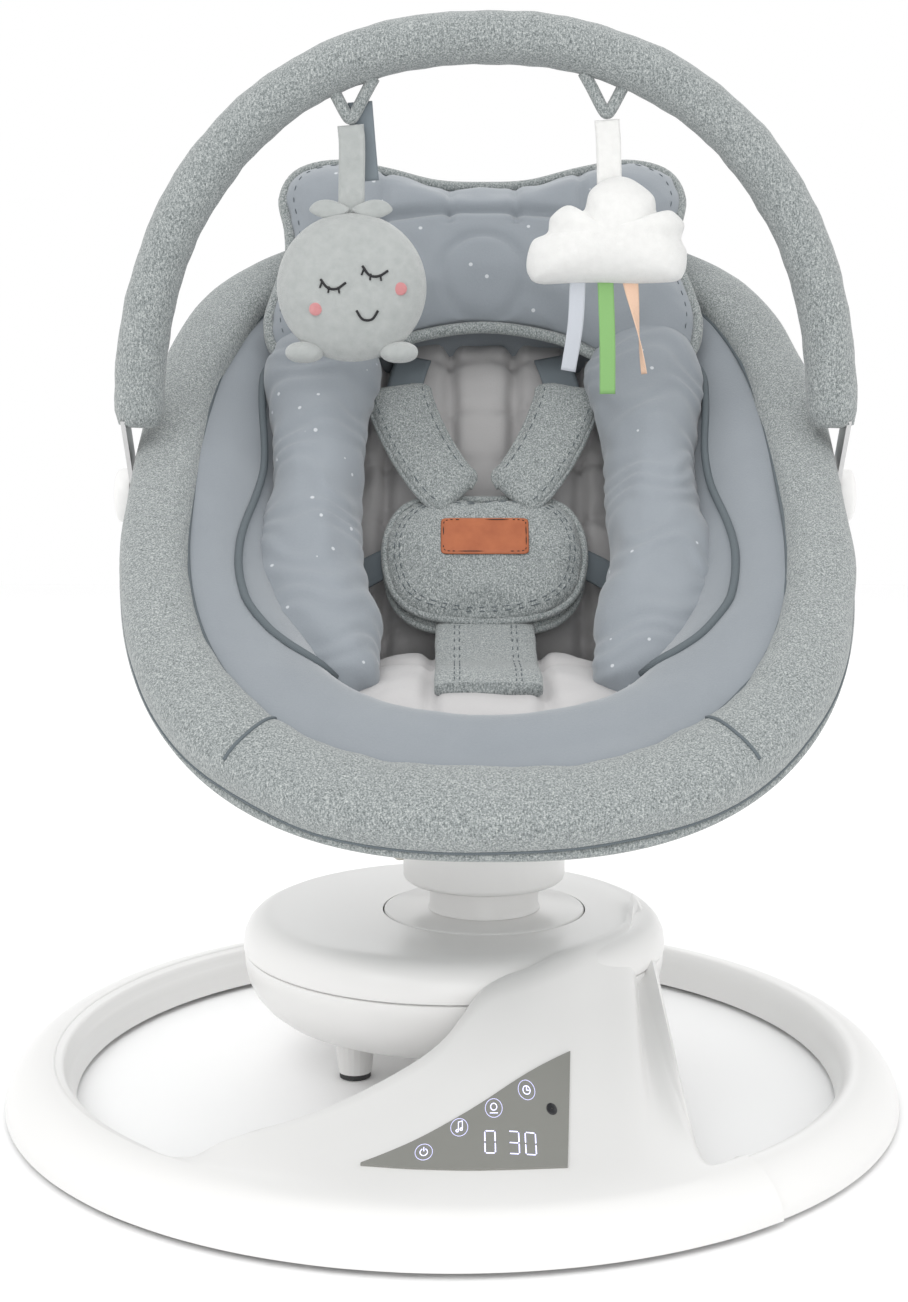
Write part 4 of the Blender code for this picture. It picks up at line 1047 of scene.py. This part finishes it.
def make_harness():
    """Straps, shoulder pads, the two-layer belly pad with its blank label, and the crotch pad."""
    for name, side in (("left", -1), ("right", 1)):
        strap = catmull([harness_front(side * 0.050, 0.492, -0.004),
                         harness_front(side * 0.054, 0.476, 0.004),
                         harness_front(side * 0.059, 0.452, 0.012)], 14)
        band = link(f"shoulder_strap_{name}_look", strap_mesh("strap", strap, OUT, 0.0125, 0.0018),
                    *SEAT_WEB)
        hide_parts(f"shoulder_strap_{name}")
        path = catmull([harness_front(side * 0.0620, 0.460, 0.014),
                        harness_front(side * 0.0580, 0.443, 0.019),
                        harness_front(side * 0.0460, 0.415, 0.024),
                        harness_front(side * 0.030, 0.390, 0.0265),
                        harness_front(side * 0.016, 0.378, 0.0265)], 40)
        widths = [0.0225 * min(1.0, 0.45 + 2.2 * math.sqrt(min(t, 1 - t))) * (1 - 0.12 * t)
                  for t in (i / 39 for i in range(40))]
        depths = [0.0062 * min(1.0, 0.35 + 2.2 * math.sqrt(min(t, 1 - t)))
                  for t in (i / 39 for i in range(40))]
        roll = sausage(f"shoulder_pad_{name}_look", path, OUT, widths, depths, *SEAT_MELANGE,
                       power=2.8)
        ruffle(roll, 0.0010, 60, 9.0)
        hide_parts(f"shoulder_pad_{name}")
        placed = frames_along(path, OUT)
        for number, share in ((1, 1.0), (2, -1.0)):
            edge = [p + s * w * share for (p, s, _), w in zip(placed, widths)]
            cord(f"shoulder_piping_{name}_{number}", edge, 0.0021, 8, OUT, SEAT_MELANGE)
            inner = [p + s * w * share * 0.78 for (p, s, _), w in zip(placed, widths)][3:-3]
            stitches(f"shoulder_stitching_{name}_{number}", surface_points(roll, inner, -OUT, 0.0003),
                     "seat", "melange_fabric")
        waist = catmull([harness_front(side * 0.102, 0.325, -0.004),
                         harness_front(side * 0.085, 0.334, 0.006),
                         harness_front(side * 0.060, 0.343, 0.013)], 16)
        band = link(f"waist_strap_{name}_look", strap_mesh("strap", waist, OUT, 0.0105, 0.0018), *SEAT_WEB)
        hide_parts(f"waist_strap_{name}")
    centre = node_middle("belly_pad")
    outline = smooth_outline(mirrored([(0.0, 0.0455), (0.030, 0.0465), (0.054, 0.0400), (0.0665, 0.0200),
                                       (0.0680, -0.006), (0.0600, -0.0300), (0.0400, -0.0440),
                                       (0.0, -0.0490)]), 120)
    for name, shift, size in (("belly_pad_look", 0.0, 1.0), ("belly_pad_back", -0.0085, 0.985)):
        pad = outline_pad(name, [(x * size, y * size) for x, y in outline],
                          centre + OUT * shift - LEAN * (0.006 if shift else 0), ACROSS, LEAN,
                          0.0080 if not shift else 0.0050, *SEAT_MELANGE, flat=4.5)
        if not shift:
            puff(pad, 0.003, voxel=0.004)
            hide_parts("belly_pad")
            front = pad
        ruffle(pad, 0.0012, 50, 11.0)
        edge = [centre + OUT * shift + ACROSS * x * size + LEAN * (y * size - (0.006 if shift else 0))
                for x, y in outline]
        cord(f"{name}_piping", edge, 0.0027, 10, OUT, SEAT_MELANGE, closed=True)
    for number, share in ((1, 0.90), (2, 0.85)):
        line = [centre + ACROSS * x * share + LEAN * y * (share - 0.02) for x, y in outline]
        line.append(line[0])
        stitches(f"belly_stitching_{number}", surface_points(front, line, -OUT, 0.0003), "seat",
                 "melange_fabric")
    low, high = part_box("leather_label")
    place = surface_points(front, [(low + high) / 2], -OUT, 0.0010)[0]
    label = outline_pad("leather_label_look", oval(0.0300, 0.0140, 14.0, 80), place + OUT * 0.0004, ACROSS,
                        LEAN, 0.0011, HIDE, "seat", "leather", flat=9.0)
    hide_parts("leather_label")
    line = [place + ACROSS * x + LEAN * y for x, y in oval(0.0282, 0.0122, 14.0, 200)]
    line.append(line[0])
    stitches("label_stitching", surface_points(label, line, -OUT, 0.0002), "seat", "leather", THREAD,
             0.0019, 0.0010, 0.00035)
    path = catmull([harness_front(0, 0.2990, 0.0130), harness_front(0, 0.2900, 0.0230),
                    Vector((SEAT_X, -0.0500, 0.2925)), Vector((SEAT_X, -0.0900, 0.2925)),
                    Vector((SEAT_X, -0.1120, 0.2860))], 40)
    crotch = sausage("crotch_pad_look", path, OUT, [0.0335] * 40, [0.0055] * 40, *SEAT_MELANGE,
                     power=4.0, sides=40)
    ruffle(crotch, 0.0009, 60, 13.0)
    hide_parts("crotch_pad")
    placed = frames_along(path, OUT)[2:-2]
    for number, share in enumerate((-0.62, -0.52, 0.52, 0.62), 1):
        line = [p + s * 0.0335 * share for p, s, _ in placed]
        stitches(f"crotch_stitching_{number}", surface_points(crotch, line, -OUT, 0.0003), "seat",
                 "melange_fabric")


# Toy bar and toys

BAR_HALF_WIDTH, BAR_RISE, SLEEVE_RADIUS = 0.2285, 0.2475, 0.0165


def make_toy_bar():
    """The bar's sleeve, its seam, and the two loops that the toys hang from."""
    base = Vector((SEAT_X, BAR_PIVOT.y, 0.448))
    points = []
    for i in range(121):
        x, z = superellipse(math.pi * i / 120, 2.2)
        points.append(base + Vector((BAR_HALF_WIDTH * x, 0, BAR_RISE * z)))
    points = [points[0] - Vector((0, 0, 0.002))] + points + [points[-1] - Vector((0, 0, 0.002))]
    rows = []
    last = len(points) - 1
    for i, (place, side, normal) in enumerate(frames_along(points, Vector((0, 1, 0)))):
        end = min(i, last - i)
        radius = SLEEVE_RADIUS * min(1.0, (0.45, 0.84, 0.96, 1.0)[min(end, 3)])
        radius *= 1 + 0.012 * math.sin(i * 1.9)
        rows.append([place + (side * math.cos(a) + normal * math.sin(a)) * radius
                     for a in (TAU * j / 36 for j in range(36))])
    sleeve = link("toy_bar_sleeve_look", grid_mesh("toy_bar_sleeve_look", rows, close_v=True, caps=True),
                  *BAR_MELANGE)
    ruffle(sleeve, 0.0009, 45, 15.0)
    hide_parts("toy_bar_sleeve", "toy_bar_core")
    seam = [p + Vector((0, SLEEVE_RADIUS + 0.0002, 0)) for p in points[3:-3]]
    cord("sleeve_seam", seam, 0.0008, 6, Vector((0, 1, 0)), (SEAM, "toy_bar", "melange_fabric"))
    for name, joint in (("left", "left_toy_swing"), ("right", "right_toy_swing")):
        pivot = Vector(JOINTS[joint]["pos_m"])
        path = catmull([pivot + Vector((-0.0155, 0, 0.0105)), pivot + Vector((-0.0100, 0, 0.0010)),
                        pivot + Vector((-0.0030, 0, -0.0120)), pivot + Vector((0, 0, -0.0150)),
                        pivot + Vector((0.0030, 0, -0.0120)), pivot + Vector((0.0100, 0, 0.0010)),
                        pivot + Vector((0.0155, 0, 0.0105))], 40)
        cord(f"toy_loop_{name}", path, 0.0040, 12, Vector((0, 1, 0)), BAR_MELANGE)


def make_left_toy():
    """The plush face on its strap, with leaves, feet and an embroidered face."""
    pivot = Vector(JOINTS["left_toy_swing"]["pos_m"])
    face_place = Vector((pivot.x, pivot.y, 0.5370))
    up, front = Vector((0, 0, 1)), Vector((0, -1, 0))
    face = outline_pad("left_toy_face_look", oval(0.0490, 0.0480, 2.0, 90), face_place, ACROSS, up, 0.0190,
                       *FACE_GREY, flat=2.6, rings=14)
    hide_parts("left_toy_face")
    top = face_place + Vector((0, 0, 0.046))
    strap = catmull([pivot + Vector((0, 0, -0.0195)), pivot + Vector((0.001, -0.002, -0.035)), top], 24)
    link("left_toy_strap", strap_mesh("strap", strap, front, 0.0085, 0.0018), *FACE_GREY)
    tail = catmull([pivot + Vector((0.006, 0.004, -0.004)), pivot + Vector((0.008, 0.005, -0.030)),
                    pivot + Vector((0.010, 0.005, -0.054))], 16)
    link("left_toy_tail", strap_mesh("tail", tail, front, 0.0080, 0.0018), WEB, "left_toy", "grey_plush")
    for name, side in (("left", -1), ("right", 1)):
        leaf = smooth_outline([(0, 0), (0.010, 0.0058), (0.020, 0.0050), (0.0262, -0.001), (0.018, -0.0060),
                               (0.008, -0.0050)], 40)
        place = face_place + Vector((side * 0.001, -0.002, 0.0500))
        piece = outline_pad(f"left_toy_leaf_{name}", [(x * side, y) for x, y in leaf], place, ACROSS,
                            (up + ACROSS * 0.25 * side).normalized(), 0.0028, *FACE_GREY)
        foot = face_place + Vector((side * 0.0310, -0.004, -0.0420))
        piece = outline_pad(f"left_toy_foot_{name}", oval(0.0125, 0.0070, 2.2, 40), foot, ACROSS, up, 0.0075,
                            *FACE_GREY)

    def on_face(points):
        raw = [face_place + ACROSS * x + up * z for x, z in points]
        return surface_points(face, raw, Vector((0, 1, 0)), 0.0005)

    def line(name, points, radius=0.0008, material=THREAD):
        path = on_face([(p.x, p.y) for p in catmull([Vector((x, z, 0)) for x, z in points], 22)])
        cord(name, path, radius, 8, front, (material, "left_toy", "grey_plush"))

    for name, x, z, tilt in (("left", -0.0105, 0.0020, -0.10), ("right", 0.0165, 0.0100, -0.15)):
        arc = [(x - 0.0085, z + 0.0010 + tilt * -0.0085), (x - 0.004, z - 0.0035), (x + 0.002, z - 0.0042),
               (x + 0.0080, z + 0.0005 + tilt * 0.0080)]
        line(f"face_eye_{name}", arc)
        for number, (dx, dz) in enumerate(((-0.0075, -0.0020), (-0.0030, -0.0052), (0.0030, -0.0055)), 1):
            line(f"face_lash_{name}_{number}", [(x + dx, z + dz + 0.0025), (x + dx * 1.2, z + dz - 0.0016)],
                 0.0006)
    line("face_smile", [(0.0040, -0.0160), (0.0080, -0.0215), (0.0140, -0.0215), (0.0180, -0.0160)])
    for name, x, z in (("left", -0.0225, -0.0150), ("right", 0.0325, -0.0020)):
        place = on_face([(x, z)])[0]
        toward = Vector((x * 0.35, -1, z * 0.35)).normalized()
        cheek_up = (up - toward * up.dot(toward)).normalized()
        outline_pad(f"face_cheek_{name}", oval(0.0042, 0.0042, 2.0, 30), place, cheek_up.cross(-toward) * -1,
                    cheek_up, 0.0009, PINK, "left_toy", "grey_plush")


def make_right_toy():
    """The plush cloud on its strap, with three ribbons below."""
    pivot = Vector(JOINTS["right_toy_swing"]["pos_m"])
    place = Vector((pivot.x, pivot.y, 0.5720))
    up, front = Vector((0, 0, 1)), Vector((0, -1, 0))
    lobes = [(-0.0520, -0.0165), (-0.0500, -0.0270), (-0.0400, -0.0320), (0.0, -0.0310), (0.0420, -0.0320),
             (0.0520, -0.0255), (0.0530, -0.0130), (0.0490, -0.0040), (0.0510, 0.0060), (0.0430, 0.0140),
             (0.0330, 0.0120), (0.0300, 0.0240), (0.0170, 0.0345), (0.0030, 0.0350), (-0.0100, 0.0270),
             (-0.0150, 0.0140), (-0.0260, 0.0170), (-0.0360, 0.0100), (-0.0380, 0.0000), (-0.0480, -0.0050)]
    cloud = outline_pad("cloud_look", smooth_outline(lobes, 140), place, ACROSS, up, 0.0190, *CLOUD_WHITE,
                        flat=2.8, rings=14)
    ruffle(cloud, 0.0016, 40, 17.0)
    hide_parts("right_toy_cloud")
    strap = catmull([pivot + Vector((0, 0, -0.0195)), pivot + Vector((0.001, -0.002, -0.035)),
                     place + Vector((0.002, 0, 0.031))], 20)
    link("right_toy_strap", strap_mesh("strap", strap, front, 0.0080, 0.0018), *CLOUD_WHITE)
    for name, x, points, twist in (
            ("blue_ribbon", -0.0180, ((-0.0015, -0.030), (-0.0060, -0.060)), 0.35),
            ("green_ribbon", 0.0000, ((0.0015, -0.038), (0.0020, -0.075)), 0.10),
            ("peach_ribbon", 0.0160, ((0.0050, -0.030), (0.0100, -0.062)), 2.3)):
        start = place + Vector((x, 0, -0.0290))
        path = catmull([start] + [start + Vector((dx, -0.002, dz)) for dx, dz in points], 26)
        strip = link(name, strap_mesh(name, path, front, 0.0052, 0.0006, twist=twist, taper=0.45
                                      if twist > 1 else 1.0), RIBBONS[name], "right_toy", "white_plush")


# Small fittings

def make_fittings():
    """The round hubs at the seat's sides."""
    for name, side in (("left", -1), ("right", 1)):
        low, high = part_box(f"side_hub_{name}")
        centre = (low + high) / 2
        r = (high.z - low.z) / 2
        near = SEAT_X + side * min(abs(low.x - SEAT_X), abs(high.x - SEAT_X))
        far = SEAT_X + side * max(abs(low.x - SEAT_X), abs(high.x - SEAT_X))
        profile = [(near, 0.0), (near, r * 0.98), (near + side * 0.001, r), (far - side * 0.004, r * 0.98),
                   (far - side * 0.0015, r * 0.93), (far - side * 0.0003, r * 0.84), (far, r * 0.70),
                   (far - side * 0.0008, r * 0.62), (far - side * 0.0008, 0.0)]
        rows = [[Vector((x, centre.y + q * math.cos(a), centre.z + q * math.sin(a))) for x, q in profile]
                for a in (TAU * i / 72 for i in range(72))]
        hub = link(f"side_hub_{name}_look", grid_mesh("hub", rows, close_u=True), WHITE, "seat",
                   "white_plastic")
        hub.data.set_sharp_from_angle(angle=math.radians(40))
        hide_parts(f"side_hub_{name}")


LINER = make_tub()
make_border()
make_bolsters()
make_cushions()
make_pillow()
make_harness()
make_toy_bar()
make_left_toy()
make_right_toy()
make_fittings()


# Studio

def plane(name, size, place, turn, material):
    mesh = bpy.data.meshes.new(name)
    h = size / 2
    mesh.from_pydata([(-h, -h, 0), (h, -h, 0), (h, h, 0), (-h, h, 0)], [], [(0, 1, 2, 3)])
    obj = bpy.data.objects.new(name, mesh)
    bpy.context.scene.collection.objects.link(obj)
    mesh.materials.append(material)
    obj.location, obj.rotation_euler = place, turn
    return obj


def area_light(name, place, target, size, power):
    data = bpy.data.lights.new(name, "AREA")
    data.shape, data.size, data.energy = "DISK", size, power
    obj = bpy.data.objects.new(name, data)
    bpy.context.scene.collection.objects.link(obj)
    obj.location = place
    obj.rotation_euler = (Vector(target) - Vector(place)).to_track_quat("-Z", "Y").to_euler()


PAPER = Look("paper_look", (0.97, 0.97, 0.97), 0.9).material
plane("floor", 8.0, (0, 0, -0.0004), (0, 0, 0), PAPER)
area_light("key", (-1.3, -1.7, 2.3), (0, 0, 0.35), 1.6, 15)
area_light("fill", (1.8, -1.3, 1.3), (0, 0, 0.35), 1.8, 4)
area_light("top", (0.1, 0.5, 2.4), (0, 0, 0.3), 1.8, 8)
area_light("front", (0.1, -2.3, 0.95), (0, 0, 0.40), 1.5, 9)
area_light("back", (0.2, 2.1, 1.3), (0, 0, 0.35), 1.6, 5)
world = bpy.data.worlds.new("studio")
bpy.context.scene.world = world
world.use_nodes = True
world.node_tree.nodes["Background"].inputs["Color"].default_value = (1, 1, 1, 1)
world.node_tree.nodes["Background"].inputs["Strength"].default_value = 1.0
bpy.context.scene.view_settings.view_transform = "Standard"

CAMERA_DISTANCE, CAMERA_HEIGHT, CAMERA_PITCH = 1.204, 0.445, 7.02     # the pitch in degrees, downwards
SENSOR_HEIGHT_MM, FOCAL_LENGTH_MM = 36, 49.8
camera_data = bpy.data.cameras.new("camera")
camera_data.sensor_fit = "VERTICAL"
camera_data.sensor_height = SENSOR_HEIGHT_MM
camera_data.lens = FOCAL_LENGTH_MM
camera = bpy.data.objects.new("camera", camera_data)
bpy.context.scene.collection.objects.link(camera)
camera.location = (0, -CAMERA_DISTANCE, CAMERA_HEIGHT)
camera.rotation_euler = (math.radians(90 - CAMERA_PITCH), 0, 0)
bpy.context.scene.camera = camera

bpy.context.view_layer.update()
